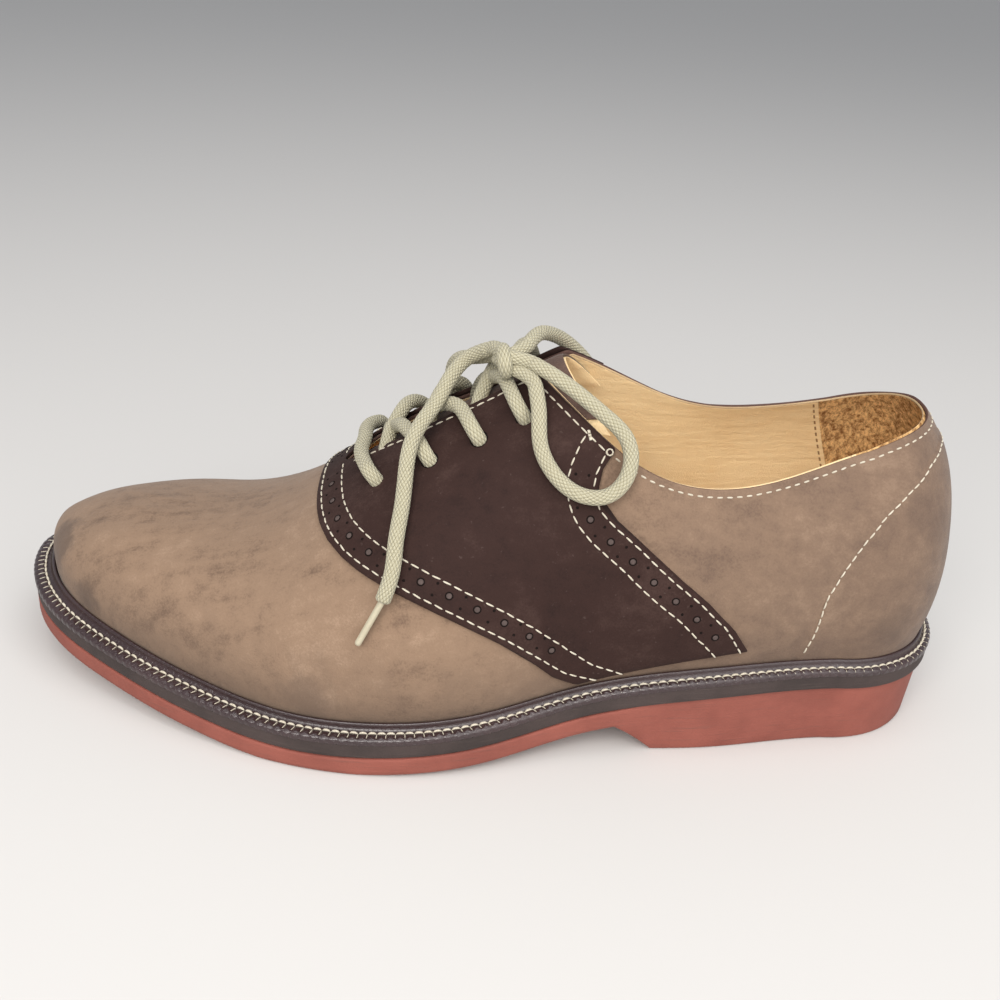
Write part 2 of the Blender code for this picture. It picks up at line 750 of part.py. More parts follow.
def even_points(points):
    # points a step apart along the smooth curve through the given ones
    points = np.array(points)
    length = np.concatenate([[0], np.cumsum(np.linalg.norm(np.diff(points, axis=0), axis=1))])
    table = np.column_stack([length, points])
    count = max(2, round(length[-1] / LACE_STEP) + 1)
    where = np.linspace(0, length[-1], count)
    return np.column_stack([read(table, axis, where) for axis in (1, 2, 3)])


def add_cord(name, points, diameter, look):
    curve = bpy.data.curves.new(name, "CURVE")
    curve.dimensions = "3D"
    curve.bevel_depth = diameter / 2
    curve.bevel_resolution = LACE_ROUNDING
    curve.use_fill_caps = True
    line = curve.splines.new("POLY")
    line.points.add(len(points) - 1)
    for target, point in zip(line.points, points + SHIFT):
        target.co = (*point, 1.0)
    curve.materials.append(look)
    cord = bpy.data.objects.new(name, curve)
    bpy.context.scene.collection.objects.link(cord)
    return cord


def add_tube(name, points, look):
    # a cord as a mesh, for joining
    cord = add_cord(name + "_line", points, LACE_DIAMETER, look)
    mesh = bpy.data.meshes.new_from_object(cord)
    bpy.data.objects.remove(cord)
    mesh.name = name
    tube = bpy.data.objects.new(name, mesh)
    bpy.context.scene.collection.objects.link(tube)
    return tube


def make_crossing(name, table):
    mirrored = table * (1, -1, 1)
    near = add_tube(name, even_points([over_ridge(row) for row in table]), LOOKS["lace"])
    far = add_tube(name + "_far", even_points([over_ridge(row) for row in mirrored]), LOOKS["lace"])
    far.hide_render = True
    far.display_type = "WIRE"
    join = near.modifiers.new("join", "BOOLEAN")
    join.operation = "UNION"
    join.solver = "EXACT"
    join.object = far


def make_knot():
    body = bmesh.new()
    bmesh.ops.create_uvsphere(body, u_segments=12, v_segments=8, radius=1.0)
    centre = round_side(KNOT_CENTRE) + SHIFT
    for corner in body.verts:
        for axis in range(3):
            share = corner.co[axis]
            swelled = math.copysign(abs(share) ** (2 / KNOT_FULLNESS), share)
            corner.co[axis] = centre[axis] + swelled * KNOT_SIZE[axis] / 2
    mesh = bpy.data.meshes.new("lace_knot")
    body.to_mesh(mesh)
    body.free()
    mesh.materials.append(LOOKS["lace"])
    bpy.context.scene.collection.objects.link(bpy.data.objects.new("lace_knot", mesh))


def make_lace():
    half = [over_ridge(row) for row in LACE_BAR * (1, -1, 1)]
    other_half = [over_ridge(row) for row in LACE_BAR[-2::-1]]
    add_cord("lace_bar", even_points(half + other_half), LACE_DIAMETER, LOOKS["lace"])
    for name, table in LACE_CROSSINGS.items():
        make_crossing(name, table)
    make_knot()
    for name, table in LACE_CORDS.items():
        points = even_points([round_side(row) for row in table])
        add_cord(name, points, LACE_DIAMETER, LOOKS["lace"])
        if name in AGLET_TIPS:
            along = points[-1] - points[-2]
            start = points[-1] + CURVED_CLEARANCE * along / np.linalg.norm(along)
            tip = np.array([start, round_side(AGLET_TIPS[name])])
            add_cord(name.replace("end", "aglet"), tip, AGLET_DIAMETER, LOOKS["aglet"])


for old in list(bpy.data.objects):
    bpy.data.objects.remove(old)

SHIFT = frame_shift()
LOOKS = {name: material(name, colour, 0.85) for name, colour in COLOURS.items()}
make_outsole()
make_midsole()
make_welt()
make_insole()
make_upper()
make_saddle()
make_tongue()
make_lace()
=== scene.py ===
# Left saddle shoe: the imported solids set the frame, dense pieces carry the looks.
import math

import bmesh
import bpy
import numpy as np
from mathutils import Matrix, Vector


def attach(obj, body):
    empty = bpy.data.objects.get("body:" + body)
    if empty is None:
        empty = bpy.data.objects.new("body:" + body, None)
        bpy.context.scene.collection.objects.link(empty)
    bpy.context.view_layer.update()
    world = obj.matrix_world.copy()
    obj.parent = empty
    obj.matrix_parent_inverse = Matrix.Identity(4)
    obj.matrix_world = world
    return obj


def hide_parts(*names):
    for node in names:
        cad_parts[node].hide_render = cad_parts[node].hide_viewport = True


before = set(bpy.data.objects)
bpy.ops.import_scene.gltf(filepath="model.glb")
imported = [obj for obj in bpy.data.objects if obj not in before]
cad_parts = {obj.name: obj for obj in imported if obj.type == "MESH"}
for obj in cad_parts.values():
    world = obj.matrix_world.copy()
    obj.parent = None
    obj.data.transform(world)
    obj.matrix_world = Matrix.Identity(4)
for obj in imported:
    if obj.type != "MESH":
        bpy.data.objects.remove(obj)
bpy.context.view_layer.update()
body = "root"
scene = bpy.context.scene

# Last, in metres: the same named sizes as the solids
last = {
    "length": 0.294, "ballWidth": 0.100, "instepHeight": 0.116, "heelSeat": 0.028,
    "collarHeight": 0.103, "sideLift": 0.012, "sideBulge": 0.003, "toeInflare": 0.020,
    "heelCore": 0.115, "toeCore": 0.80, "heelRound": 2.15, "toeRound": 2.3, "undercut": 0.12,
    "uToe": 0.25, "uHeel": 0.80, "clearance": 0.0003, "wall": 0.0018,
    "throat": 0.655, "facingTop": 0.455, "throatHalfGap": 0.0112, "throatRound": 0.07,
}

tiny = 1e-9
metresPerShare = 0.105  # about: height of the wall for one share of the way up
wallGap = 0.0004  # room between the upper and what stands against it

# place, lateral, medial, ridge, feather, lift, bulge, fullness
sections = np.array([
    [0.00, 0.34, 0.34, 1.00, 1.000, 2.10, 1.2, 2.10],
    [0.12, 0.34, 0.34, 0.95, 0.985, 2.10, 1.2, 2.10],
    [0.25, 0.41, 0.30, 0.93, 0.970, 1.70, 1.1, 2.00],
    [0.40, 0.455, 0.27, 1.04, 0.735, 1.00, 1.0, 1.95],
    [0.50, 0.54, 0.29, 0.905, 0.540, 1.00, 1.0, 1.90],
    [0.60, 0.57, 0.37, 0.745, 0.450, 1.00, 1.0, 2.00],
    [0.70, 0.525, 0.455, 0.555, 0.432, 1.00, 0.9, 2.10],
    [0.80, 0.41, 0.49, 0.465, 0.545, 0.80, 0.7, 2.30],
    [0.90, 0.28, 0.48, 0.455, 0.700, 0.80, 0.4, 2.40],
    [1.00, 0.22, 0.46, 0.42, 0.890, 0.75, 0.2, 2.50],
])

# place, height of the collar on the outer and on the inner side
collar = np.array([
    [0.00, 1.015, 1.015],
    [0.10, 0.965, 0.93],
    [0.20, 0.875, 0.89],
    [0.28, 0.85, 0.905],
    [0.36, 0.92, 1.00],
    [0.42, 1.04, 1.085],
    [0.50, 1.145, 1.20],
])

# share of the way up, places of the saddle's rear and front edge
saddleEdges = np.array([
    [0.00, 0.221, 0.398],
    [0.10, 0.240, 0.436],
    [0.20, 0.258, 0.481],
    [0.30, 0.274, 0.537],
    [0.40, 0.296, 0.592],
    [0.50, 0.320, 0.630],
    [0.60, 0.344, 0.654],
    [0.75, 0.383, 0.674],
    [0.90, 0.391, 0.681],
    [1.00, 0.378, 0.682],
])

# place, overhang of the sole past the feather line
soleEdge = np.array([
    [0.00, 0.66],
    [0.15, 0.67],
    [0.30, 0.78],
    [0.45, 0.82],
    [0.60, 1.00],
    [0.80, 1.00],
    [1.00, 1.00],
])


def splineBends(table):
    place, value = table[:, 0], table[:, 1:]
    step = np.diff(place)
    matrix = np.eye(len(place))
    right = np.zeros(value.shape)
    for i in range(1, len(place) - 1):
        matrix[i, i - 1:i + 2] = step[i - 1], 2 * (step[i - 1] + step[i]), step[i]
        right[i] = 6 * ((value[i + 1] - value[i]) / step[i] - (value[i] - value[i - 1]) / step[i - 1])
    return np.linalg.solve(matrix, right)


def read(table, column, where):
    place, value = table[:, 0], table[:, column]
    bend = splineBends(table)[:, column - 1]
    where = np.clip(where, place[0], place[-1])
    i = np.clip(np.searchsorted(place, where) - 1, 0, len(place) - 2)
    step = place[i + 1] - place[i]
    low = (place[i + 1] - where) / step
    high = (where - place[i]) / step
    curve = (low**3 - low) * bend[i] + (high**3 - high) * bend[i + 1]
    return low * value[i] + high * value[i + 1] + curve * step**2 / 6


def placeX(place):
    return last["length"] * (0.5 - place)


def centreY(place):
    return last["toeInflare"] * np.clip((place - 0.72) / 0.28, 0, 1) ** 2


def placeU(place):
    share = (last["toeCore"] - place) / (last["toeCore"] - last["heelCore"])
    return last["uToe"] + (last["uHeel"] - last["uToe"]) * share


def placeAt(u):
    # straight run of placeU backwards: a little past 0 and 1 round the heel and the toe
    run = last["toeCore"] - last["heelCore"]
    return last["toeCore"] - run * (u - last["uToe"]) / (last["uHeel"] - last["uToe"])


def unit(vectors):
    return vectors / np.linalg.norm(vectors, axis=-1, keepdims=True)


def feather(side, u):
    # bottom edge of the upper: x, y and place; side is -1 outside, 1 inside
    u = np.asarray(u, float)
    uToe, uHeel, toeCore, heelCore = last["uToe"], last["uHeel"], last["toeCore"], last["heelCore"]
    column = 1 if side < 0 else 2
    toeTurn = np.clip(1 - u / uToe, 0, 1) * math.pi / 2
    toePlace = toeCore + (1 - toeCore) * np.sin(toeTurn) ** (2 / last["toeRound"])
    midPlace = toeCore + (heelCore - toeCore) * (u - uToe) / (uHeel - uToe)
    place = np.where(u < uToe, toePlace, midPlace)
    closing = np.where(u < uToe, np.cos(toeTurn), 1.0)
    width = last["ballWidth"] * read(sections, column, place)
    middle = centreY(place)
    y = middle + side * (width - side * middle) * closing
    heelTurn = np.clip((u - uHeel) / (1 - uHeel), 0, 1) * math.pi / 2
    heelHalf = last["ballWidth"] * read(sections, column, np.array(heelCore))
    heelX = placeX(heelCore) + heelCore * last["length"] * np.sin(heelTurn) ** (2 / last["heelRound"])
    heelY = side * heelHalf * np.cos(heelTurn) ** (2 / last["heelRound"])
    x = np.where(u < uHeel, placeX(place), heelX)
    y = np.where(u < uHeel, y, heelY)
    return x, y, 0.5 - x / last["length"]


def footHeight(place):
    return last["heelSeat"] * read(sections, 4, place)


def section(side, u):
    x, y, place = feather(side, u)
    held = np.clip(place, last["heelCore"], last["toeCore"])
    coreX, coreY = placeX(held), centreY(held)
    reach = np.hypot(x - coreX, y - coreY)
    return {
        "place": place, "coreX": coreX, "coreY": coreY, "reach": reach,
        "dirX": (x - coreX) / reach, "dirY": (y - coreY) / reach,
        "foot": footHeight(place), "lift": last["sideLift"] * read(sections, 5, place),
        "bulge": last["sideBulge"] * read(sections, 6, place),
        "ridge": last["instepHeight"] * read(sections, 3, place),
        "fullness": read(sections, 7, place),
    }


def lastPoint(side, u, t, grow=0.0):
    # t is 0 at the feather line and 1 on the closed ridge
    u, t, grow = np.broadcast_arrays(np.asarray(u, float), np.asarray(t, float), np.asarray(grow, float))
    s = section(side, u)
    cut = last["undercut"]
    under = np.clip(t / cut, 0, 1)
    turn = np.clip((t - cut) / (1 - cut), 0, 1) * math.pi / 2
    bow = 2 / s["fullness"]
    low = s["reach"] + s["bulge"] * (1 - (1 - under) ** 2) + grow
    high = (s["reach"] + s["bulge"] + grow) * np.cos(turn) ** bow
    out = np.where(t < cut, low, high)
    x = s["coreX"] + s["dirX"] * out
    y = s["coreY"] + s["dirY"] * out
    ownRidge = last["instepHeight"] * read(sections, 3, 0.5 - x / last["length"])
    ridge = np.where(s["place"] > last["toeCore"], ownRidge, s["ridge"]) + grow
    clear = last["clearance"]
    z = s["foot"] + clear + (s["lift"] - clear) * under
    z = z + (ridge - s["foot"] - s["lift"]) * np.sin(turn) ** bow
    return np.stack([x, y, z], -1)


def turnShare(turn):
    return last["undercut"] + (1 - last["undercut"]) * turn / (math.pi / 2)


def shareAtY(side, u, y, grow=0.0):
    s = section(side, u)
    ratio = np.clip(np.abs(y) / (s["reach"] + s["bulge"] + grow), 0, 1)
    return turnShare(np.arccos(ratio ** (s["fullness"] / 2)))


def topShare(side, u, grow=0.0, margin=0.0):
    # top edge of the upper; margin moves the facing edge towards the ridge
    s = section(side, u)
    opening = np.clip((last["throat"] - s["place"]) / last["throatRound"], 0, 1) ** 0.5
    gap = np.clip(last["throatHalfGap"] * opening - margin, 0, None)
    facing = shareAtY(side, u, gap, grow)
    rim = last["collarHeight"] * read(collar, 1 if side < 0 else 2, s["place"]) - s["foot"] - s["lift"]
    share = np.clip(rim / (s["ridge"] + grow - s["foot"] - s["lift"]), 0, 1)
    collarShare = turnShare(np.arcsin(share ** (s["fullness"] / 2)))
    openTop = np.where(s["place"] > last["facingTop"], facing, np.minimum(collarShare, facing))
    return np.where(s["place"] >= last["throat"], 1.0, openTop)


def edgePoint(side, u, overhang):
    u = np.asarray(u, float)
    x, y, place = feather(side, u)
    before = feather(side, np.clip(u - 1e-4, 0, 1))
    after = feather(side, np.clip(u + 1e-4, 0, 1))
    alongX, alongY = after[0] - before[0], after[1] - before[1]
    length = np.hypot(alongX, alongY)
    outX = -side * alongY / length
    outY = side * alongX / length
    end = (u <= 0) | (u >= 1)
    outX = np.where(end, np.where(u <= 0, -1.0, 1.0), outX)
    outY = np.where(end, 0.0, outY)
    return x + outX * overhang, y + outY * overhang, place


def soleOverhang(place):
    return sole["weltWidth"] * read(soleEdge, 1, place)


def frameShift():
    u = np.linspace(0, 1, 2001)
    corners = []
    for side in (-1, 1):
        x, y, _ = edgePoint(side, u, soleOverhang(feather(side, u)[2]))
        corners.append([x.min(), x.max(), y.min(), y.max()])
    corners = np.array(corners)
    low, high = corners.min(0), corners.max(0)
    return np.array([-(low[0] + high[1]) / 2, -(low[2] + high[3]) / 2, 0.0])


sole = {
    "weltWidth": 0.0074, "weltThickness": 0.0014, "lipHeight": 0.0039, "lipWidth": 0.0010,
    "midsole": 0.0055, "outsole": 0.0065, "heelInset": 0.0016, "heelTaper": 0.0014,
    "breastTop": 0.355, "breastFoot": 0.31, "edgeRound": 0.0007, "insole": 0.0038,
}
shift = frameShift()


# Camera at the photograph's angle, rolled as the photograph is
cameraSet = {
    "azimuth": -1.84, "elevation": 27.13, "roll": 3.78, "distance": 0.38136,
    "target": (0.00585, 0.0, 0.06529), "lens": 42.52, "sensor": 36.0,
}


def makeCamera():
    azimuth, elevation, roll = (math.radians(cameraSet[k]) for k in ("azimuth", "elevation", "roll"))
    back = np.array([math.sin(azimuth) * math.cos(elevation),
                     -math.cos(azimuth) * math.cos(elevation), math.sin(elevation)])
    right = np.array([math.cos(azimuth), math.sin(azimuth), 0.0])
    up = np.cross(back, right)
    rolledRight = right * math.cos(roll) + up * math.sin(roll)
    rolledUp = up * math.cos(roll) - right * math.sin(roll)
    place = np.array(cameraSet["target"]) + back * cameraSet["distance"]
    data = bpy.data.cameras.new("camera")
    data.lens, data.sensor_width = cameraSet["lens"], cameraSet["sensor"]
    data.clip_start, data.clip_end = 0.01, 50
    camera = bpy.data.objects.new("camera", data)
    turned = np.column_stack([rolledRight, rolledUp, back, place])
    camera.matrix_world = Matrix([list(row) for row in turned] + [[0, 0, 0, 1]])
    scene.collection.objects.link(camera)
    scene.camera = camera


makeCamera()
print("camera set")


# Shader helpers
class Wire:
    # a value in a shader: arithmetic on it adds math nodes to its tree
    def __init__(self, tree, socket):
        self.tree, self.socket = tree, socket

    def calc(self, operation, second=0.0, third=None):
        inputs = {0: self, 1: second} if third is None else {0: self, 1: second, 2: third}
        node = newNode(self.tree, "ShaderNodeMath", inputs, operation=operation)
        return Wire(self.tree, node.outputs[0])

    def __add__(self, other):
        return self.calc("ADD", other)

    def __sub__(self, other):
        return self.calc("SUBTRACT", other)

    def __mul__(self, other):
        return self.calc("MULTIPLY", other)

    def remap(self, low, high, toLow=0.0, toHigh=1.0):
        inputs = {"Value": self, "From Min": low, "From Max": high, "To Min": toLow, "To Max": toHigh}
        node = newNode(self.tree, "ShaderNodeMapRange", inputs, interpolation_type="SMOOTHSTEP")
        return Wire(self.tree, node.outputs["Result"])


def setInput(tree, target, value):
    # link a wire, or set a number or a colour on the socket itself
    if isinstance(value, Wire):
        tree.links.new(value.socket, target)
        return
    size = len(target.default_value) if hasattr(target.default_value, "__len__") else 0
    if size and not hasattr(value, "__len__"):
        value = (value,) * size
    elif size == 4 and len(value) == 3:
        value = (*value, 1.0)
    target.default_value = value


def newNode(tree, kind, inputs=None, **settings):
    node = tree.nodes.new(kind)
    for key, value in settings.items():
        setattr(node, key, value)
    for key, value in (inputs or {}).items():
        setInput(tree, node.inputs[key], value)
    return node


def wires(tree, node):
    return {socket.name: Wire(tree, socket) for socket in node.outputs}


def mixColour(factor, first, second):
    node = newNode(factor.tree, "ShaderNodeMix", {0: factor, 6: first, 7: second},
                   data_type="RGBA", blend_type="MIX", clamp_factor=True)
    return Wire(factor.tree, node.outputs[2])


def noise(vector, scale, detail=3.0, roughness=0.55, distortion=0.0):
    inputs = {"Vector": vector, "Scale": scale, "Detail": detail, "Roughness": roughness,
              "Distortion": distortion}
    return wires(vector.tree, newNode(vector.tree, "ShaderNodeTexNoise", inputs))["Fac"]


def stretched(vector, scale, turn=(0.0, 0.0, 0.0)):
    inputs = {"Vector": vector, "Scale": scale, "Rotation": turn}
    return wires(vector.tree, newNode(vector.tree, "ShaderNodeMapping", inputs))["Vector"]


def axes(vector):
    return wires(vector.tree, newNode(vector.tree, "ShaderNodeSeparateXYZ", {"Vector": vector}))


def newGroup(name, build, colours, values, outputs):
    # one shared effect: build takes the wires that come in and gives those that go out
    group = bpy.data.node_groups.new(name, "ShaderNodeTree")
    given = {"Vector": "NodeSocketVector", **dict.fromkeys(colours, "NodeSocketColor"),
             **dict.fromkeys(values, "NodeSocketFloat")}
    for label, kind in given.items():
        group.interface.new_socket(name=label, in_out="INPUT", socket_type=kind)
    for label in outputs:
        kind = "NodeSocketColor" if label == "Color" else "NodeSocketFloat"
        group.interface.new_socket(name=label, in_out="OUTPUT", socket_type=kind)
    made = build(wires(group, group.nodes.new("NodeGroupInput")))
    out = group.nodes.new("NodeGroupOutput")
    for label in outputs:
        setInput(group, out.inputs[label], made[label])
    return group


def useGroup(group, vector, **values):
    inputs = {"Vector": vector, **values}
    return wires(vector.tree, newNode(vector.tree, "ShaderNodeGroup", inputs, node_tree=group))


def nappedLeather(given):
    # brushed nap: cloudy patches, fine mottling and brush marks
    vector = given["Vector"]
    fine = noise(vector, 210.0, 5.0, 0.65)
    brush = noise(stretched(vector, (40.0, 260.0, 90.0), (0.0, 0.25, 0.5)), 1.0, 4.0, 0.6)
    nap = noise(vector, given["Grain"], 3.0, 0.7)
    shade = noise(vector, 34.0, 4.0, 0.6, 0.6).remap(0.36, 0.68) * given["Patches"] + 0.36
    shade = shade + (brush - 0.5) * given["Brush"]
    mottled = (nap - 0.5) * 0.65 + ((fine - 0.5) * 0.75 + shade)
    lower = mixColour(mottled.remap(0.0, 0.5), given["Dark"], given["Middle"])
    return {"Color": mixColour(mottled.remap(0.5, 1.0), lower, given["Light"]),
            "Height": nap * 0.6 + fine * 0.7, "Mottle": mottled}


def smoothLeather(given):
    # pores and fine creases of smooth leather
    vector = given["Vector"]
    cells = newNode(vector.tree, "ShaderNodeTexVoronoi", {"Vector": vector, "Scale": given["Pores"]},
                    feature="DISTANCE_TO_EDGE")
    crack = wires(vector.tree, cells)["Distance"].remap(0.0, 0.12)
    tone = noise(vector, 45.0, 4.0, 0.6)
    spot = noise(vector, 420.0, 3.0, 0.6)
    factor = spot * 0.25 + tone.remap(0.35, 0.7) * given["Tone"]
    return {"Color": mixColour(factor, given["Base"], given["Deep"]),
            "Height": crack * 0.4 + spot * 0.6, "Roughness": tone.remap(0.3, 0.7, 0.36, 0.58)}


def lowDirt(given):
    # painted shade and dirt low on the shoe: darker towards the floor, broken up by noise
    vector = given["Vector"]
    height = (noise(vector, 90.0, 5.0, 0.7) - 0.5) * 0.03 + axes(vector)["Z"]
    mask = height.remap(given["Low"], given["High"], 1.0, 0.0) * given["Amount"]
    return {"Color": mixColour(mask, given["Color"], given["Dirt"])}


groups = {
    "nap": newGroup("nappedLeather", nappedLeather, ("Dark", "Middle", "Light"),
                    ("Patches", "Brush", "Grain"), ("Color", "Height", "Mottle")),
    "smooth": newGroup("smoothLeather", smoothLeather, ("Base", "Deep"), ("Pores", "Tone"),
                       ("Color", "Height", "Roughness")),
    # painted shade and dirt: darker low on the shoe
    "dirt": newGroup("lowDirt", lowDirt, ("Color", "Dirt"), ("Low", "High", "Amount"), ("Color",)),
}


def newMaterial(name, colour, roughness, sheen=0.0, coat=0.0, specular=0.5):
    made = bpy.data.materials.new(name)
    made.use_nodes = True
    tree = made.node_tree
    surface = tree.nodes["Principled BSDF"]
    inputs = {"Base Color": colour, "Roughness": roughness, "Specular IOR Level": specular,
              "Sheen Weight": sheen, "Sheen Roughness": 0.45,
              "Coat Weight": coat, "Coat Roughness": 0.25}
    for key, value in inputs.items():
        setInput(tree, surface.inputs[key], value)
    return made, surface, wires(tree, newNode(tree, "ShaderNodeTexCoord"))["Object"]


def paint(surface, colour, height=None, distance=0.0, strength=0.5):
    # a material's colour and its bump
    tree = colour.tree
    setInput(tree, surface.inputs["Base Color"], colour)
    if height is not None:
        bump = newNode(tree, "ShaderNodeBump", {"Height": height, "Distance": distance, "Strength": strength})
        tree.links.new(bump.outputs["Normal"], surface.inputs["Normal"])


def spotMask(vector, centre, radius, ragged=0.5):
    # ragged round patch about one point
    node = newNode(vector.tree, "ShaderNodeVectorMath", {0: vector, 1: centre}, operation="DISTANCE")
    rough = noise(vector, 150.0, 5.0, 0.75) - 0.5
    away = rough * (radius * ragged * 3) + wires(vector.tree, node)["Value"]
    return away.remap(radius * 0.45, radius, 1.0, 0.0)


def useNap(vector, look):
    named = {key.capitalize(): look[key] for key in ("dark", "middle", "light", "patches", "brush", "grain")}
    return useGroup(groups["nap"], vector, **named)


nubuckLook = {
    "dark": (0.128, 0.083, 0.058), "middle": (0.238, 0.159, 0.107), "light": (0.320, 0.222, 0.154),
    # dirt colours the scuffs, and the darkening low on the shoe, which is painted shade and dirt
    "dirt": (0.100, 0.070, 0.054), "patches": 0.28, "brush": 0.70, "grain": 1500.0,
    # rear: painted shade and dirt, a darker, greyer tone towards the heel
    "rear": (0.118, 0.080, 0.062), "rearShadeDirtFrom": -0.02, "rearShadeDirtTo": 0.13, "rearShadeDirtAmount": 0.60,
    "scuffs": [((-0.1375, 0.005, 0.038), 0.011, 0.75), ((-0.1270, -0.016, 0.030), 0.008, 0.6),
               ((-0.050, -0.056, 0.022), 0.012, 0.35), ((0.128, -0.026, 0.044), 0.012, 0.35)],
}


def makeNubuck(name, look):
    made, surface, vector = newMaterial(name, look["middle"], 0.92, sheen=0.12, specular=0.15)
    nap = useNap(vector, look)
    # painted shade and dirt: the nubuck darkens towards the floor
    shadedAndDirty = useGroup(groups["dirt"], vector, Color=nap["Color"], Dirt=look["dirt"],
                     Low=0.012, High=0.046, Amount=0.5)
    # painted shade and dirt: the rear tone grows towards the heel
    heelward = (noise(vector, 28.0) - 0.5) * 0.12 + axes(vector)["X"]
    rear = heelward.remap(look["rearShadeDirtFrom"], look["rearShadeDirtTo"]) * look["rearShadeDirtAmount"]
    rear = rear * nap["Mottle"].remap(0.25, 0.75, 1.2, 0.7)
    colour = mixColour(rear, shadedAndDirty["Color"], look["rear"])
    for centre, radius, amount in look["scuffs"]:
        colour = mixColour(spotMask(vector, centre, radius) * amount, colour, look["dirt"])
    paint(surface, colour, nap["Height"], 0.0006, 0.55)
    return made


# painted shade: the tongue is taupe nubuck, and these are the taupe's colours darkened as in the throat's shade
tongueLook = {
    "dark": (0.052, 0.032, 0.027), "middle": (0.100, 0.062, 0.050), "light": (0.175, 0.115, 0.090),
    "dirt": (0.050, 0.034, 0.028), "patches": 0.42, "brush": 0.40, "grain": 1500.0, "scuffs": [],
    "rear": (0.07, 0.045, 0.036), "rearShadeDirtFrom": 0.2, "rearShadeDirtTo": 0.3, "rearShadeDirtAmount": 0.0,
}

saddleLook = {
    "dark": (0.016, 0.0070, 0.0058), "middle": (0.028, 0.0125, 0.0100), "light": (0.048, 0.0255, 0.0210),
    "dust": (0.075, 0.050, 0.044), "patches": 0.35, "brush": 0.55, "grain": 1500.0,
}


def makeSaddleLeather(look):
    made, surface, vector = newMaterial("brownNubuck", look["middle"], 0.80, sheen=0.02, specular=0.20)
    nap = useNap(vector, look)
    flecks = noise(vector, 700.0, 2.0, 0.5).remap(0.68, 0.76) * 0.5
    paint(surface, mixColour(flecks, nap["Color"], look["dust"]), nap["Height"], 0.0005)
    return made


liningLook = {
    "base": (0.93, 0.710, 0.405), "deep": (0.82, 0.57, 0.285),
    "gripDark": (0.21, 0.085, 0.022), "gripLight": (0.92, 0.58, 0.25), "gripFrom": 0.1452, "gripLean": 0.36,
    "seam": (0.30, 0.17, 0.075), "seamBack": 0.0017, "seamPitch": 0.0026, "seamHalf": 0.00032,
}


def makeLining(look):
    # smooth tan leather, with a napped grip behind gripFrom
    made, surface, vector = newMaterial("tanLining", look["base"], 0.5, specular=0.35)
    leather = useGroup(groups["smooth"], vector, Base=look["base"], Deep=look["deep"], Pores=1300.0, Tone=0.4)
    pile = noise(stretched(vector, (1.0, 1.0, 0.6), (0.0, 0.4, 0.0)), 620.0, 5.0, 0.8)
    fibres = mixColour(pile.remap(0.34, 0.66), look["gripDark"], look["gripLight"])
    split = axes(vector)
    along = split["Z"] * look["gripLean"] + split["X"]
    grip = along.calc("GREATER_THAN", look["gripFrom"])
    # stitched row just ahead of the grip
    row = along.calc("COMPARE", look["gripFrom"] - look["seamBack"], look["seamHalf"])
    beat = (split["Z"] * (2 * math.pi / look["seamPitch"])).calc("SINE")
    row = row * beat.calc("GREATER_THAN", -0.2)
    seamed = mixColour(row, leather["Color"], look["seam"])
    rough = leather["Roughness"].calc("MAXIMUM", grip * 0.9)
    setInput(vector.tree, surface.inputs["Roughness"], rough)
    wrinkle = noise(stretched(vector, (60.0, 60.0, 420.0), (0.0, 0.5, 0.0)), 1.0, 2.0, 0.5)
    height = pile * grip * 3.0 + (wrinkle * 1.6 + leather["Height"])
    paint(surface, mixColour(grip, seamed, fibres), height, 0.0004, 0.6)
    return made


def makeSmooth(name, base, deep, roughness, pores, coat=0.0, bump=0.0003):
    made, surface, vector = newMaterial(name, base, roughness, coat=coat)
    leather = useGroup(groups["smooth"], vector, Base=base, Deep=deep, Pores=pores, Tone=0.6)
    paint(surface, leather["Color"], leather["Height"], bump)
    return made


rubberLook = {
    # base, deep, dirt, amount of dirt
    "brickOutsole": ((0.268, 0.080, 0.058), (0.215, 0.062, 0.045), (0.135, 0.065, 0.052), 0.5),
    "greyMidsole": ((0.055, 0.039, 0.036), (0.036, 0.026, 0.024), (0.105, 0.082, 0.072), 0.35),
}


def makeRubber(name):
    base, deep, dirt, amount = rubberLook[name]
    made, surface, vector = newMaterial(name, base, 0.72, specular=0.35)
    tone = noise(vector, 60.0, 4.0, 0.6).remap(0.3, 0.7)
    scratch = noise(stretched(vector, (60.0, 60.0, 1400.0)), 1.0, 4.0, 0.7)
    colour = mixColour(scratch.remap(0.55, 0.75) * amount, mixColour(tone, base, deep), dirt)
    paint(surface, colour, noise(vector, 1500.0, 3.0, 0.6) + scratch, 0.0003)
    return made


# deep and gapShadow: painted shade in the crevices of the braid
laceLook = {"strand": (0.480, 0.450, 0.325), "deep": (0.320, 0.290, 0.190), "gapShadow": (0.09, 0.08, 0.055),
            "strandsRound": 12.0, "pitch": 0.0038}


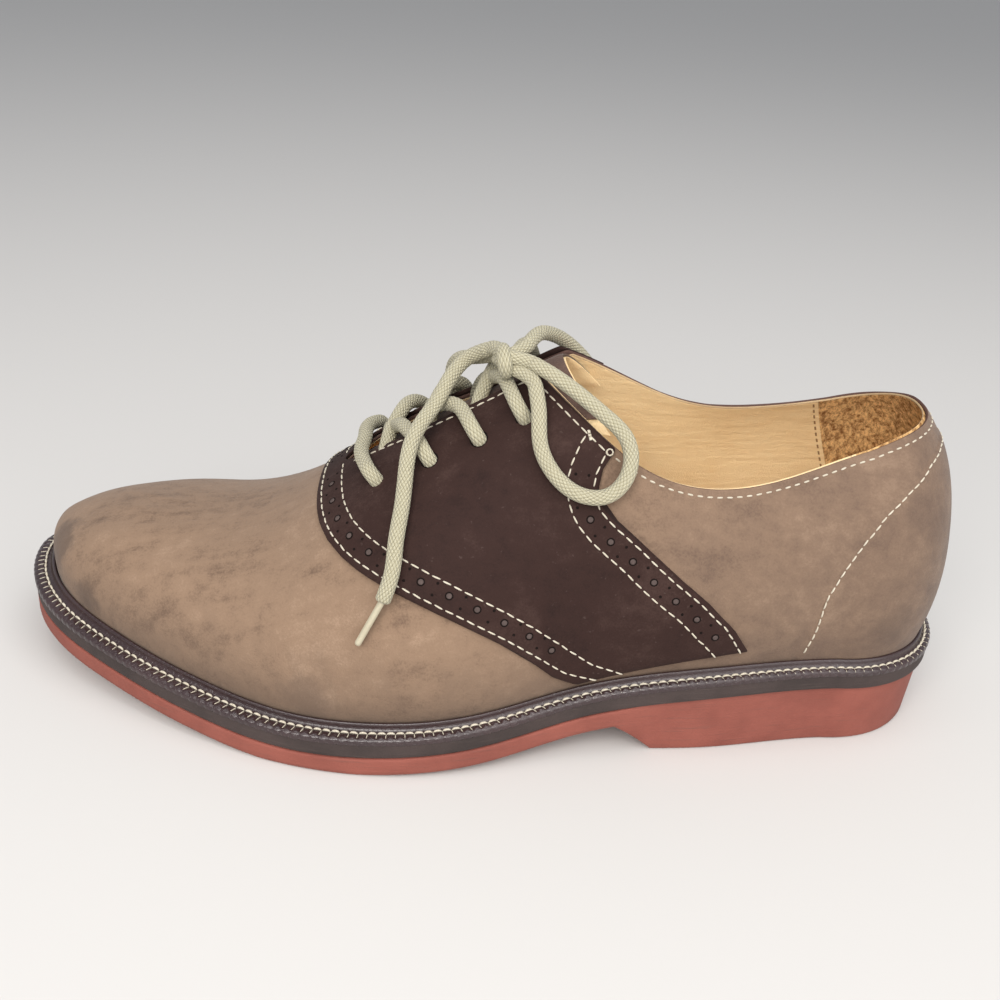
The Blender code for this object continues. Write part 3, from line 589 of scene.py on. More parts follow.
def makeBraid(look):
    # round braid from the cord's own map: strands lean both ways, with painted shade in the gaps between them
    # and dark dots where the gaps cross
    made, surface, vector = newMaterial("creamBraid", look["strand"], 0.85, sheen=0.15, specular=0.25)
    tree = vector.tree
    split = axes(wires(tree, newNode(tree, "ShaderNodeUVMap", uv_map="cord"))["UV"])
    turns = split["X"] * (look["strandsRound"] * math.pi)
    along = split["Y"] * (2 * math.pi / look["pitch"])
    first = (turns + along).calc("SINE").calc("ABSOLUTE")
    second = (turns - along).calc("SINE").calc("ABSOLUTE")
    gap = first * second
    shade = ((noise(vector, 2600.0, 2.0, 0.6) - 0.5) * 0.5 + gap).remap(0.0, 0.42)
    colour = mixColour(shade, look["deep"], look["strand"])
    some = noise(vector, 900.0, 2.0, 0.6).remap(0.42, 0.52)
    gapShadowDots = first.calc("MAXIMUM", second).remap(0.12, 0.34, 1.0, 0.0) * some
    height = (turns * 9.0).calc("SINE") * 0.08 + gap
    paint(surface, mixColour(gapShadowDots, colour, look["gapShadow"]), height, 0.0005, 0.8)
    return made


threadLook = {"base": (0.60, 0.55, 0.44), "light": (0.64, 0.60, 0.50), "deep": (0.45, 0.39, 0.29)}


def makeThread(look):
    made, surface, vector = newMaterial("ivoryThread", look["base"], 0.75, sheen=0.1)
    colour = mixColour(noise(vector, 500.0, 2.0, 0.6), look["light"], look["deep"])
    paint(surface, colour, noise(vector, 3500.0, 2.0, 0.6), 0.0002)
    return made


def makeMatte(name, colour):
    made, surface, vector = newMaterial(name, colour, 0.95, specular=0.1)
    paint(surface, mixColour(noise(vector, 900.0, 2.0, 0.6), colour, tuple(c * 0.5 for c in colour)))
    return made


looks = {
    "nubuck": makeNubuck("taupeNubuck", nubuckLook),
    "tongue": makeNubuck("tongueNubuck", tongueLook),
    "saddle": makeSaddleLeather(saddleLook),
    "lining": makeLining(liningLook),
    "insole": makeSmooth("tanInsole", (0.72, 0.46, 0.20), (0.50, 0.29, 0.11), 0.5, 1100.0),
    "welt": makeSmooth("darkWelt", (0.022, 0.0095, 0.0110), (0.040, 0.0190, 0.0200), 0.32, 700.0, coat=0.5),
    "midsole": makeRubber("greyMidsole"),
    "outsole": makeRubber("brickOutsole"),
    "braid": makeBraid(laceLook),
    "aglet": makeSmooth("laceTip", (0.48, 0.44, 0.32), (0.37, 0.32, 0.22), 0.3, 2000.0, coat=0.6, bump=0.0001),
    "thread": makeThread(threadLook),
    "cutEdge": makeMatte("cutEdge", (0.125, 0.072, 0.060)),
    "liningEdge": makeSmooth("liningEdge", (0.50, 0.36, 0.20), (0.30, 0.20, 0.11), 0.8, 500.0),
    "holeFloor": makeMatte("holeFloor", (0.115, 0.087, 0.080)),
    # near black: painted shade inside the punched holes and the eyelets
    "hole": makeMatte("hole", (0.012, 0.008, 0.007)),
}
print("materials made")


# Mesh helpers
def addMesh(name, points, faces, look, sharp=None, uv=None, marks=None):
    mesh = bpy.data.meshes.new(name)
    points = np.asarray(points, float) + shift
    counts = [len(face) for face in faces]
    loops = np.concatenate(faces) if isinstance(faces, list) else faces.reshape(-1)
    mesh.vertices.add(len(points))
    mesh.vertices.foreach_set("co", points.astype(np.float32).ravel())
    mesh.loops.add(len(loops))
    mesh.loops.foreach_set("vertex_index", loops.astype(np.int32))
    mesh.polygons.add(len(counts))
    starts = np.concatenate([[0], np.cumsum(counts)[:-1]])
    mesh.polygons.foreach_set("loop_start", starts.astype(np.int32))
    mesh.polygons.foreach_set("loop_total", np.asarray(counts, np.int32))
    if uv is not None:
        layer = mesh.uv_layers.new(name="cord")
        layer.data.foreach_set("uv", np.asarray(uv, np.float32)[loops].ravel())
    for each in look if isinstance(look, tuple) else (look,):
        mesh.materials.append(each)
    if marks is not None:
        mesh.polygons.foreach_set("material_index", np.asarray(marks, np.int32))
    mesh.update(calc_edges=True)
    mesh.validate()
    tidyNormals(mesh, uv is None)
    mesh.shade_smooth()
    if sharp:
        mesh.set_sharp_from_angle(angle=math.radians(sharp))
    piece = bpy.data.objects.new(name, mesh)
    scene.collection.objects.link(piece)
    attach(piece, body)
    return piece


def assign(piece, node=None):
    # hides the node that the piece replaces
    if node:
        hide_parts(node)
    return piece


def joined(parts):
    # points and faces of several grids as one mesh
    starts = np.cumsum([0] + [len(points) for points, _ in parts])
    return (np.vstack([points for points, _ in parts]),
            np.vstack([faces + start for (_, faces), start in zip(parts, starts)]))


def tidyNormals(mesh, weld):
    work = bmesh.new()
    work.from_mesh(mesh)
    if weld:
        bmesh.ops.remove_doubles(work, verts=work.verts, dist=2e-6)
    bmesh.ops.recalc_face_normals(work, faces=work.faces)
    work.to_mesh(mesh)
    work.free()


def gridFaces(rows, columns, wrapRows=False, wrapColumns=False):
    number = np.arange(rows * columns).reshape(rows, columns)
    if wrapRows:
        number = np.vstack([number, number[:1]])
    if wrapColumns:
        number = np.hstack([number, number[:, :1]])
    return np.stack([number[:-1, :-1], number[1:, :-1], number[1:, 1:], number[:-1, 1:]], -1).reshape(-1, 4)


def closedGrid(columns, closed, flatEnds=False):
    # columns of closed profiles: faces all round, without those between two ridge columns' tops
    count, size = columns.shape[:2]
    number = np.arange(count * size).reshape(count, size)
    first, second = number[:-1], number[1:]
    after = np.roll(number, -1, axis=1)
    faces = np.stack([first, second, after[1:], after[:-1]], -1)
    keep = np.ones(faces.shape[:2], bool)
    low, high = closed["rows"]
    both = closed["columns"][:-1] & closed["columns"][1:]
    keep[np.ix_(both, np.arange(low, high))] = False
    found = faces[keep]
    row = np.broadcast_to(np.arange(size), faces.shape[:2])[keep]
    if flatEnds:
        for i in (0, count - 1):
            half = size // 2
            a, b = number[i, :half], number[i, ::-1][:half]
            found = np.vstack([found, np.stack([a[:-1], a[1:], b[1:], b[:-1]], -1)])
    return found, row


def roundU(counts):
    throat, facing = placeU(last["throat"]), placeU(last["facingTop"])
    near = placeU(last["throat"] - 0.3 * last["throatRound"])
    return np.concatenate([
        np.linspace(0, last["uToe"], counts[0], endpoint=False),
        np.linspace(last["uToe"], throat, counts[1], endpoint=False),
        throat + (near - throat) * np.linspace(0, 1, counts[2], endpoint=False) ** 2,
        np.linspace(near, facing, counts[3], endpoint=False),
        np.linspace(facing, last["uHeel"], counts[4], endpoint=False),
        np.linspace(last["uHeel"], 1, counts[5]),
    ])


# Creases and steps of the upper, in its own shares: side, place, share, length along, half
# breadth, depth in metres (down is negative)
creases = [
    (-1, 0.655, 0.20, 0.10, 0.007, -0.0005), (-1, 0.690, 0.22, 0.09, 0.007, -0.0004),
    (-1, 0.724, 0.24, 0.09, 0.008, -0.0003), (1, 0.668, 0.30, 0.12, 0.007, -0.0005),
    (1, 0.706, 0.30, 0.12, 0.008, -0.0004), (-1, 0.225, 0.42, 0.12, 0.010, -0.0004),
    (1, 0.235, 0.40, 0.14, 0.010, -0.0005), (1, 0.300, 0.45, 0.12, 0.010, -0.0004),
]

# heel counter's upper line: place, share
counterLine = np.array([
    [-0.060, 0.540], [0.000, 0.515], [0.021, 0.490], [0.057, 0.451], [0.092, 0.391],
    [0.114, 0.313], [0.131, 0.230], [0.144, 0.148], [0.149, 0.072], [0.158, 0.020],
])
counterRise = 0.0004
slackHeight = 0.00022


def creaseDepth(side, place, t):
    depth = np.zeros(np.broadcast(place, t).shape)
    for which, at, share, length, breadth, amount in creases:
        if which == side:
            across = (place - at - 0.10 * (t - share)) / breadth
            along = (t - share) / length
            depth = depth + amount * np.exp(-across**2 - along**2)
    return depth * ridgeFade(t)


def ridgeFade(t):
    # both halves meet flush on the ridge
    return np.clip((1 - t) / 0.18, 0, 1) ** 2


def counterStep(place, t):
    line = np.interp(place, counterLine[:, 0], counterLine[:, 1], right=-1) + 0.012
    return counterRise * np.clip((line - t) / 0.006 + 0.5, 0, 1)


def slack(side, place, t):
    # leather is never dead even: long shallow waves
    wave = np.sin(23 * place + 5 * t + side) * np.sin(11 * t - 17 * place * side)
    u = placeU(place)
    ends = np.clip(np.minimum(u, 1 - u) / 0.04, 0, 1)
    return slackHeight * wave * np.clip((t - 0.12) * 8, 0, 1) * ridgeFade(t) * ends


def waves(side, place, t):
    return creaseDepth(side, place, t) + slack(side, place, t)


upperSet = {
    "counts": (90, 56, 26, 74, 96, 76), "rows": 76, "rimRows": 6, "backRows": 8,
    "outer": 0.0, "back": -0.0011, "rimDrop": 0.0, "margin": 0.0,
}
liningSet = {
    "counts": (56, 36, 22, 60, 84, 60), "rows": 8, "rimRows": 4, "backRows": 46,
    "outer": -0.00115, "back": -0.0018, "rimDrop": 0.0002, "margin": 0.0036,
}


def makeWall(name, settings, look, uneven=False):
    # one wall round the foot: outer face up, rounded rim, inner face down
    outer, back, cut = settings["outer"], settings["back"], last["undercut"]
    half, middle = (outer - back) / 2, (outer + back) / 2
    parts, marks = [], []
    for side in (-1, 1):
        u = roundU(settings["counts"])
        closed = section(side, u)["place"] >= last["throat"] - tiny
        top = topShare(side, u, outer, settings["margin"] if side < 0 else 0.0)
        top = np.where(closed, 1.0, top - settings["rimDrop"] / metresPerShare)[:, None]
        low = np.broadcast_to(np.linspace(0, cut, 7, endpoint=False), (len(u), 7))
        turn = np.linspace(0, math.pi, settings["rimRows"] + 2)[1:-1]
        outT = np.hstack([low, cut + (top - cut) * np.linspace(0, 1, settings["rows"])])
        rimT = np.where(closed[:, None], 1.0, top + np.sin(turn) * half / metresPerShare)
        backT = np.hstack([cut + (top - cut) * np.linspace(1, 0, settings["backRows"]), low[:, ::-1]])
        t = np.hstack([outT, rimT, backT])
        g = np.hstack([np.full(outT.shape, outer), np.broadcast_to(middle + half * np.cos(turn), rimT.shape),
                       np.full(backT.shape, back)])
        if uneven:
            wide = placeAt(u)[:, None]
            g = g + (waves(side, wide, t) + counterStep(wide, t)) * (g > back + tiny)
        grid = lastPoint(side, u[:, None], t, g)
        rows = (outT.shape[1] - 1, outT.shape[1] + rimT.shape[1])
        faces, row = closedGrid(grid, {"columns": closed, "rows": rows})
        marks.append((row > rows[0]) & (row < rows[1]))
        parts.append((grid.reshape(-1, 3), faces))
    return addMesh(name, *joined(parts), look, sharp=50, marks=np.concatenate(marks))


assign(makeWall("upper_nubuck", upperSet, (looks["nubuck"], looks["cutEdge"]), True), "upper")
assign(makeWall("lining", liningSet, (looks["lining"], looks["liningEdge"])))
print("upper and lining made")


saddleSet = {"gap": 0.0004, "thickness": 0.0013, "foot": 0.45, "rows": 96, "backRows": 12, "round": 0.0004,
             "width": 0.30}


def saddlePlace(across, up):
    rear, front = read(saddleEdges, 1, up), read(saddleEdges, 2, up)
    return rear * (1 - across) + front * across


def saddleShares(side, across, up, grow):
    # place and share of any point of the saddle
    place = saddlePlace(across, up)
    topPlace = saddlePlace(across, np.ones_like(up))
    top = topShare(side, placeU(topPlace), grow)
    low = saddleSet["foot"] * last["undercut"]
    return place, low + (top - low) * up


def saddleAcross():
    rear, front = saddleEdges[-1, 1], saddleEdges[-1, 2]
    corner = (last["facingTop"] - rear) / (front - rear)
    throat = (last["throat"] - rear) / (front - rear)
    near = (last["throat"] - 0.3 * last["throatRound"] - rear) / (front - rear)
    return np.concatenate([
        np.linspace(0, corner, 34, endpoint=False), np.linspace(corner, near, 84, endpoint=False),
        throat + (near - throat) * np.linspace(1, 0, 26, endpoint=False) ** 2,
        np.linspace(throat, 1, 14),
    ])


def makeSaddle():
    across = saddleAcross()
    whole = np.ones_like(across)
    closed = saddlePlace(across, whole) >= last["throat"] - tiny
    low, high = saddleSet["gap"], saddleSet["gap"] + saddleSet["thickness"]
    soft = saddleSet["round"]
    edge = np.minimum(across, 1 - across) * saddleSet["width"] * last["length"]
    thin = soft * np.clip(1 - edge / soft / 2.5, 0, 1) ** 2
    up = np.linspace(0, 1, saddleSet["rows"])
    dip = soft * np.clip(1 - up * 60, 0, 1) ** 2
    allPoints, allFaces, start = [], [], 0
    for side in (-1, 1):
        def face(rows, grow, less=0.0):
            place, t = saddleShares(side, across[:, None], rows[None, :], grow)
            return lastPoint(side, placeU(place), t, grow - less + waves(side, place, t))

        rim = []
        for share in (0.15, 0.5, 0.85):
            grow = high + (low - high) * share
            place, t = saddleShares(side, across, whole, grow)
            bulge = math.sin(share * math.pi) * saddleSet["thickness"] * 0.3 / metresPerShare
            rim.append(lastPoint(side, placeU(place), np.where(closed, 1.0, t + bulge), grow))
        outer = face(up, high, thin[:, None] + dip)
        back = face(np.linspace(1, 0, saddleSet["backRows"]), low)
        grid = np.concatenate([outer, np.stack(rim, 1), back], axis=1)
        rows = (outer.shape[1] - 1, outer.shape[1] + len(rim))
        faces, _ = closedGrid(grid, {"columns": closed, "rows": rows})
        number = np.arange(grid.shape[0] * grid.shape[1]).reshape(grid.shape[:2])
        allFaces += list(faces + start) + [number[0] + start, number[-1] + start]
        allPoints.append(grid.reshape(-1, 3))
        start += len(allPoints[-1])
    return addMesh("saddle_leather", np.vstack(allPoints), allFaces, looks["saddle"], sharp=50)


assign(makeSaddle(), "saddle")
print("saddle made")


tongueSet = {
    "base": 0.69, "top": 0.425, "bend": 0.045, "halfBase": 0.20, "halfTop": 0.36, "under": 0.0034,
    "thickness": 0.0024, "split": 0.0013, "rows": 80, "columns": 72,
    "face": 0.88, "apart": 0.00005, "soft": 0.0004,
}


def makeTongueLayer(name, outer, inner, shrink, look):
    along = np.linspace(0, 1, tongueSet["rows"])[:, None]
    across = np.linspace(-1, 1, tongueSet["columns"])[None, :]
    half = (tongueSet["halfBase"] + (tongueSet["halfTop"] - tongueSet["halfBase"]) * along) * shrink
    end = tongueSet["top"] - tongueSet["bend"] * (across * shrink)**2
    place = tongueSet["base"] + (end - tongueSet["base"]) * along * (1 + (shrink - 1) * 0.1)
    share = 1 - half * np.abs(across)
    edge = np.minimum(1 - np.abs(across), (1 - along) * 4) * 9
    soft = tongueSet["soft"] * np.clip(1 - edge, 0, 1) ** 2
    faces = []
    for grow in (outer - soft, inner + soft):
        near = lastPoint(-1, placeU(place), share, grow)
        far = lastPoint(1, placeU(place), share, grow)
        faces.append(np.where((across < 0)[..., None], near, far))
    grid = np.concatenate([faces[0], faces[1][:, ::-1]], axis=1)
    found, _ = closedGrid(grid, {"columns": np.zeros(len(grid), bool), "rows": (0, 0)}, True)
    return addMesh(name, grid.reshape(-1, 3), found, look, sharp=50)


def makeTongue():
    outer, inner = -tongueSet["under"], -tongueSet["under"] - tongueSet["thickness"]
    middle = outer - tongueSet["split"]
    face = makeTongueLayer("tongue_nubuck", outer, middle, tongueSet["face"], looks["tongue"])
    back = makeTongueLayer("tongue_lining", middle - tongueSet["apart"], inner, 1.0, looks["lining"])
    assign(face, "tongue")
    assign(back)


makeTongue()
print("tongue made")


# Sole: dense rings from top to underside
def soleU():
    stops = [0, last["uToe"], placeU(sole["breastTop"]), placeU(sole["breastFoot"]), last["uHeel"], 1]
    parts = [np.linspace(stops[i], stops[i + 1], count, endpoint=i == 4)
             for i, count in enumerate((70, 130, 14, 60, 60))]
    return np.concatenate(parts)


def midsoleBase(place):
    return footHeight(place) - sole["midsole"]


def outsoleTop(place):
    return midsoleBase(place) - last["clearance"]


def outsoleBase(place):
    slope = np.clip((place - sole["breastFoot"]) / (sole["breastTop"] - sole["breastFoot"]), 0, 1)
    return np.maximum(outsoleTop(place) - sole["outsole"], 0.0) * slope


def heelShare(place):
    return np.clip((sole["breastTop"] - place) / (sole["breastTop"] - sole["breastFoot"]), 0, 1)


def soleRing(u, edge, inset, height, drop):
    pair = []
    for side in (-1, 1):
        place = feather(side, u)[2]
        x, y, _ = edgePoint(side, u, edge(place) - inset)
        pair.append(np.stack([x, y, height(place) - drop], -1))
    return pair


def makePlate(name, rings, u, look, ribs):
    loops = [np.concatenate([near, far[-2:0:-1]]) for near, far in rings]
    parts = [(np.concatenate(loops), gridFaces(len(loops), len(loops[0]), wrapColumns=True))]
    across = np.linspace(0, 1, ribs + 1)[None, :, None]
    for near, far in (rings[0], rings[-1]):
        grid = near[:, None] * (1 - across) + far[:, None] * across
        parts.append((grid.reshape(-1, 3), gridFaces(len(u), ribs + 1)))
    return addMesh(name, *joined(parts), look, sharp=40)


def makeSole():
    u = soleU()
    bevel, soft = sole["edgeRound"], 0.3 * sole["edgeRound"]

    def topEdge(p):
        return soleOverhang(p) - sole["heelInset"] * heelShare(p)

    def baseEdge(p):
        return topEdge(p) - sole["heelTaper"] * heelShare(p)

    def sockEdge(p):
        return 0 * p - last["wall"] - wallGap

    def sockTop(p):
        return footHeight(p) + last["clearance"] + sole["insole"]

    def sockBase(p):
        return footHeight(p) + last["clearance"]

    def shifted(line, by):
        return lambda p: line(p) + by

    def blend(first, second, share):
        return lambda p: first(p) * (1 - share) + second(p) * share

    heel = [(blend(topEdge, baseEdge, share), 0,
             blend(shifted(outsoleTop, -bevel), shifted(outsoleBase, 2 * bevel), share), 0)
            for share in np.linspace(0, 1, 9)]
    layer = [(soleOverhang, 0, blend(shifted(footHeight, -bevel), shifted(midsoleBase, bevel), share), 0)
             for share in np.linspace(0, 1, 5)]
    plates = {
        # name, ribs over each face, rings: edge, inset, height, drop
        "outsole": ("outsole_rubber", 16, [
            (topEdge, bevel, outsoleTop, 0), (topEdge, soft, outsoleTop, soft), *heel,
            (baseEdge, 0.6 * bevel, outsoleBase, -0.6 * bevel), (baseEdge, 2 * bevel, outsoleBase, 0)]),
        "midsole": ("midsole_rubber", 10, [
            (soleOverhang, bevel, footHeight, 0), (soleOverhang, soft, footHeight, soft), *layer,
            (soleOverhang, soft, midsoleBase, -soft), (soleOverhang, bevel, midsoleBase, 0)]),
        "insole": ("insole_sock", 12, [
            (sockEdge, bevel, sockTop, 0), (sockEdge, soft, sockTop, soft),
            (sockEdge, 0, sockTop, bevel), (sockEdge, 0, sockBase, 0)]),
    }
    for node, (name, ribs, rings) in plates.items():
        rings = [soleRing(u, *ring) for ring in rings]
        assign(makePlate(name, rings, u, looks[node], ribs), node)


makeSole()
print("sole made")


weltSet = {"columns": 1900, "pitch": 0.0029, "bump": 0.00065, "groove": 0.0003, "row": 0.33, "spokes": 0.70,
           "proud": 0.00015, "overlap": 0.0011, "lipFoot": 2.2}


def arcLengths(points):
    return np.concatenate([[0], np.cumsum(np.linalg.norm(np.diff(points, axis=0), axis=1))])


def evenRoundU(side, count):
    # columns evenly spaced round the sole's edge on one side
    u = np.linspace(0, 1, 1500)
    x, y, _ = edgePoint(side, u, soleOverhang(feather(side, u)[2]))
    length = arcLengths(np.stack([x, y], -1))
    return np.interp(np.linspace(0, length[-1], count), length, u)


def makeWelt():
    columns = []
    for side in (-1, 1):
        u = evenRoundU(side, weltSet["columns"] // 2)
        s = section(side, u)
        x, y, _ = edgePoint(side, u, soleOverhang(s["place"]))
        along = arcLengths(np.stack([x, y], -1))
        bump = weltSet["bump"] * np.abs(np.sin(math.pi * along / weltSet["pitch"])) ** 0.6

        def againstUpper(height, grow):
            share = last["undercut"] * (height - last["clearance"]) / (s["lift"] - last["clearance"])
            return lastPoint(side, u, share, grow + wallGap)

        def edge(inset, height):
            ex, ey, _ = edgePoint(side, u, soleOverhang(s["place"]) - inset)
            return np.stack([ex, ey, s["foot"] + height], -1)

        clear, lip, wide = last["clearance"], sole["lipHeight"], sole["lipWidth"]
        shelf = clear + sole["weltThickness"]
        bevel = sole["edgeRound"]
        shelfIn = againstUpper(shelf, weltSet["lipFoot"] * wide)
        shelfOut = edge(bevel, shelf)
        profile = [againstUpper(height, grow * wide) for height, grow in (
            (clear, 0), ((clear + lip) / 2, 0), (lip * 0.97, 0), (lip, 0.25), (lip, 0.65), (lip * 0.92, 1),
            (lip * 0.75, 1.25), (lip * 0.55, 1.6), (shelf + 0.0002, 1.95))] + [shelfIn]
        # share of the way out, dip of the stitched groove, rise of the notches
        for share, dip, rise in ((0.15, 0.5, 0), (weltSet["row"], 1, 0), (0.42, 0.5, 0.2), (0.48, 0, 0.8),
                                 (0.62, 0, 1), (0.80, 0, 1), (0.93, 0, 0.75)):
            point = shelfIn * (1 - share) + shelfOut * share
            point[:, 2] += rise * (bump - weltSet["bump"] * 0.7) - dip * weltSet["groove"]
            profile.append(point)
        # the notched edge laps a little over the midsole
        proud, low = weltSet["proud"] + 0.45 * bump, clear - weltSet["overlap"]
        profile += [shelfOut, edge(0.3 * bevel - 0.5 * proud, shelf - 0.3 * bevel), edge(-proud, shelf - bevel),
                    edge(-proud, low + 0.0004), edge(0.0003, low)]
        grid = np.stack(profile, 1)
        columns.append(grid if side < 0 else grid[-2:0:-1])
    grid = np.concatenate(columns)
    faces = gridFaces(*grid.shape[:2], wrapRows=True, wrapColumns=True)
    return addMesh("welt_leather", grid.reshape(-1, 3), faces, looks["welt"], sharp=55)


assign(makeWelt(), "welt")
print("welt made")


# Stitches and holes stand on the surface that carries them
stitchSizes = {
    "saddle": {"pitch": 0.0035, "length": 0.00290, "radius": 0.00027},
    "collar": {"pitch": 0.0030, "length": 0.00200, "radius": 0.00028},
    "counter": {"pitch": 0.0029, "length": 0.00260, "radius": 0.00028},
    "welt": {"pitch": 0.0029, "length": 0.00250, "radius": 0.00040},
    "spoke": {"pitch": 0.0029, "length": 0.00280, "radius": 0.00015},
    "knot": {"pitch": 0.0006, "length": 0.00090, "radius": 0.00026},
}
chance = np.random.default_rng(7)


def surfaceFrames(points, normals):
    along = unit(np.gradient(points, axis=0))
    across = unit(np.cross(normals, along))
    return along, across, np.cross(along, across)


def surfaceNormal(side, place, t, grow):
    step = 1e-4
    u = placeU(place)
    here = lastPoint(side, u, t, grow)
    alongPlace = lastPoint(side, placeU(place + step), t, grow) - here
    alongShare = lastPoint(side, u, t + step, grow) - here
    normal = unit(np.cross(alongPlace, alongShare) * side)
    return here, normal, alongPlace / step, alongShare / step


offsetSteps = 8


def offsetLine(side, place, t, grow, distance):
    # a line moved over the surface in short steps; plus is to the left of its run, seen from outside
    for _ in range(offsetSteps):
        place, t = offsetOnce(side, place, t, grow, distance / offsetSteps)
        place, t = smoothed(place), smoothed(t)
    return place, t


def smoothed(values):
    # running mean that keeps the ends' slope
    reach = 9
    ahead = 2 * values[-1] - values[-reach - 1:-1][::-1]
    before = 2 * values[0] - values[1:reach + 1][::-1]
    padded = np.concatenate([before, values, ahead])
    return np.convolve(padded, np.ones(2 * reach + 1) / (2 * reach + 1), "valid")


def runOn(place, t, lowShare, past):
    # a line that climbs is drawn on to a low share at its foot and a little past its top
    slope = (place[12] - place[0]) / (t[12] - t[0])
    foot = np.linspace(lowShare, t[0], 24, endpoint=False)
    place = np.concatenate([place[0] + slope * (foot - t[0]), place])
    t = np.concatenate([foot, t])
    keep = t >= lowShare
    place, t = place[keep], t[keep]
    more = np.linspace(0, 1, 12)[1:] * past
    return (np.concatenate([place, place[-1] + (place[-1] - place[-9]) / abs(t[-1] - t[-9]) * more]),
            np.concatenate([t, t[-1] + more]))


def offsetOnce(side, place, t, grow, distance):
    here, normal, perPlace, perShare = surfaceNormal(side, place, t, grow)
    out = unit(np.cross(normal, np.gradient(here, axis=0))) * np.asarray(distance)[..., None]
    a = (perPlace * perPlace).sum(1)
    b = (perPlace * perShare).sum(1)
    c = (perShare * perShare).sum(1)
    p, q = (out * perPlace).sum(1), (out * perShare).sum(1)
    det = a * c - b * b
    return place + (p * c - q * b) / det, t + (q * a - p * b) / det


def evenly(side, place, t, grow, pitch):
    # points a pitch apart along a line on the surface, with normals
    here = lastPoint(side, placeU(place), t, grow)
    length = arcLengths(here)
    where = np.arange(pitch / 2, length[-1], pitch)
    place, t = np.interp(where, length, place), np.interp(where, length, t)
    points, normals, _, _ = surfaceNormal(side, place, t, grow)
    return points + normals * waves(side, place, t)[:, None], normals


def stitchTemplate(size):
    # one stitch: a rounded bar along X whose ends dip into the leather
    rings = np.linspace(-1, 1, 7)
    turn = np.linspace(0, 2 * math.pi, 6, endpoint=False)
    points = []
    for x in rings:
        thick = size["radius"] * (0.35 + 0.65 * math.sqrt(max(0.0, 1 - x * x)))
        drop = -size["radius"] * 0.9 * abs(x) ** 3
        for a in turn:
            points.append((x * size["length"] / 2, thick * math.cos(a), drop + thick * math.sin(a)))
    faces = gridFaces(7, 6, wrapColumns=True).tolist() + [[5, 4, 3, 2, 1, 0], [36, 37, 38, 39, 40, 41]]
    return np.array(points), faces


def seamSpots(lines, size, sink=0.1):
    # middle, forward, across and up of each stitch along some lines
    spots = []
    for here, normals in lines:
        along, across, up = surfaceFrames(here, normals)
        along = along + across * chance.normal(0, 0.05, len(here))[:, None]
        spots += zip(here + up * size["radius"] * (0.35 - sink), along, across, up)
    return spots


def makeStitches(name, spots, size):
    template, shape = stitchTemplate(size)
    points, faces = [], []
    for here, forward, across, up in spots:
        start = len(points) * len(template)
        points.append(here + template @ np.stack([forward, across, up]))
        faces += [[i + start for i in face] for face in shape]
    return addMesh(name, np.vstack(points), faces, looks["thread"])


holeSet = {"round": 12, "lift": 0.0001, "inner": 0.55, "innerLift": 1.6, "middleLift": 1.2, "depth": 0.0004}


def makeHoles(name, spots, look):
    # small sunk discs, each a shallow cone: spots are point, normal, radius
    points, faces = [], []
    around = holeSet["round"]
    turn = np.linspace(0, 2 * math.pi, around, endpoint=False)
    for here, normal, radius in spots:
        first = unit(np.cross(normal, [0.3, 0.5, 0.8]))
        second = np.cross(normal, first)
        ringPoints = here + radius * (np.cos(turn)[:, None] * first + np.sin(turn)[:, None] * second)
        start, lift = len(points), normal * holeSet["lift"]
        points += list(ringPoints + lift)
        points += list(here + (ringPoints - here) * holeSet["inner"] + lift * holeSet["innerLift"])
        points.append(here + lift * holeSet["middleLift"])
        points += list(ringPoints - normal * holeSet["depth"])
        inner, middle, low = start + around, start + 2 * around, start + 2 * around + 1
        for i in range(around):
            j = (i + 1) % around
            faces += [[start + i, start + j, inner + j, inner + i], [inner + i, inner + j, middle],
                      [low + i, low + j, start + j, start + i]]
        faces.append([low + i for i in reversed(range(around))])
    return addMesh(name, points, faces, look)


def saddleEdgeLine(side, column, low, high, distance, grow, count=400):
    up = np.linspace(low, high, count)
    across = np.full(count, float(column))
    place, t = saddleShares(side, across, up, grow)
    sign = side if column else -side
    return offsetLine(side, place, t, grow, distance * sign)


saddleTop = saddleSet["gap"] + saddleSet["thickness"]
saddleRows = {
    # column (0 rear, 1 front), from, to, distance at the foot and at the top, run past the top
    "frontOuter": (1, 0.14, 0.995, 0.0024, 0.0017, 0.0), "frontInner": (1, 0.14, 0.965, 0.0092, 0.0095, 0.0),
    "rearOuter": (0, 0.14, 0.965, 0.0014, 0.0014, 0.0), "rearInner": (0, 0.14, 0.955, 0.0098, 0.0092, 0.022),
}
punching = {
    # column, distance at the foot and at the top, from, to
    "front": (1, 0.0070, 0.0056, 0.10, 0.95), "rear": (0, 0.0056, 0.0054, 0.10, 0.93),
}
punchSizes = {"pitch": 0.0091, "rim": 0.00125, "floor": 0.00085, "small": 0.00042, "apart": 0.0019}
ringSpot = {"place": 0.383, "share": 0.574, "radius": 0.0009}
tackSpot = {"place": 0.4035, "share": 0.620}


def bandLine(side, column, low, high, foot, top):
    distance = foot + (top - foot) * np.clip(np.linspace(low, high, 400) * 1.6, 0, 1)
    return saddleEdgeLine(side, column, low, high, distance, saddleTop)


def topEdgeLine(side, fromPlace, toPlace, distance, grow, count=500):
    # line below the collar or beside the throat
    place = np.linspace(fromPlace, toPlace, count)
    t = topShare(side, placeU(place), grow)
    return offsetLine(side, place, t, grow, distance * side)


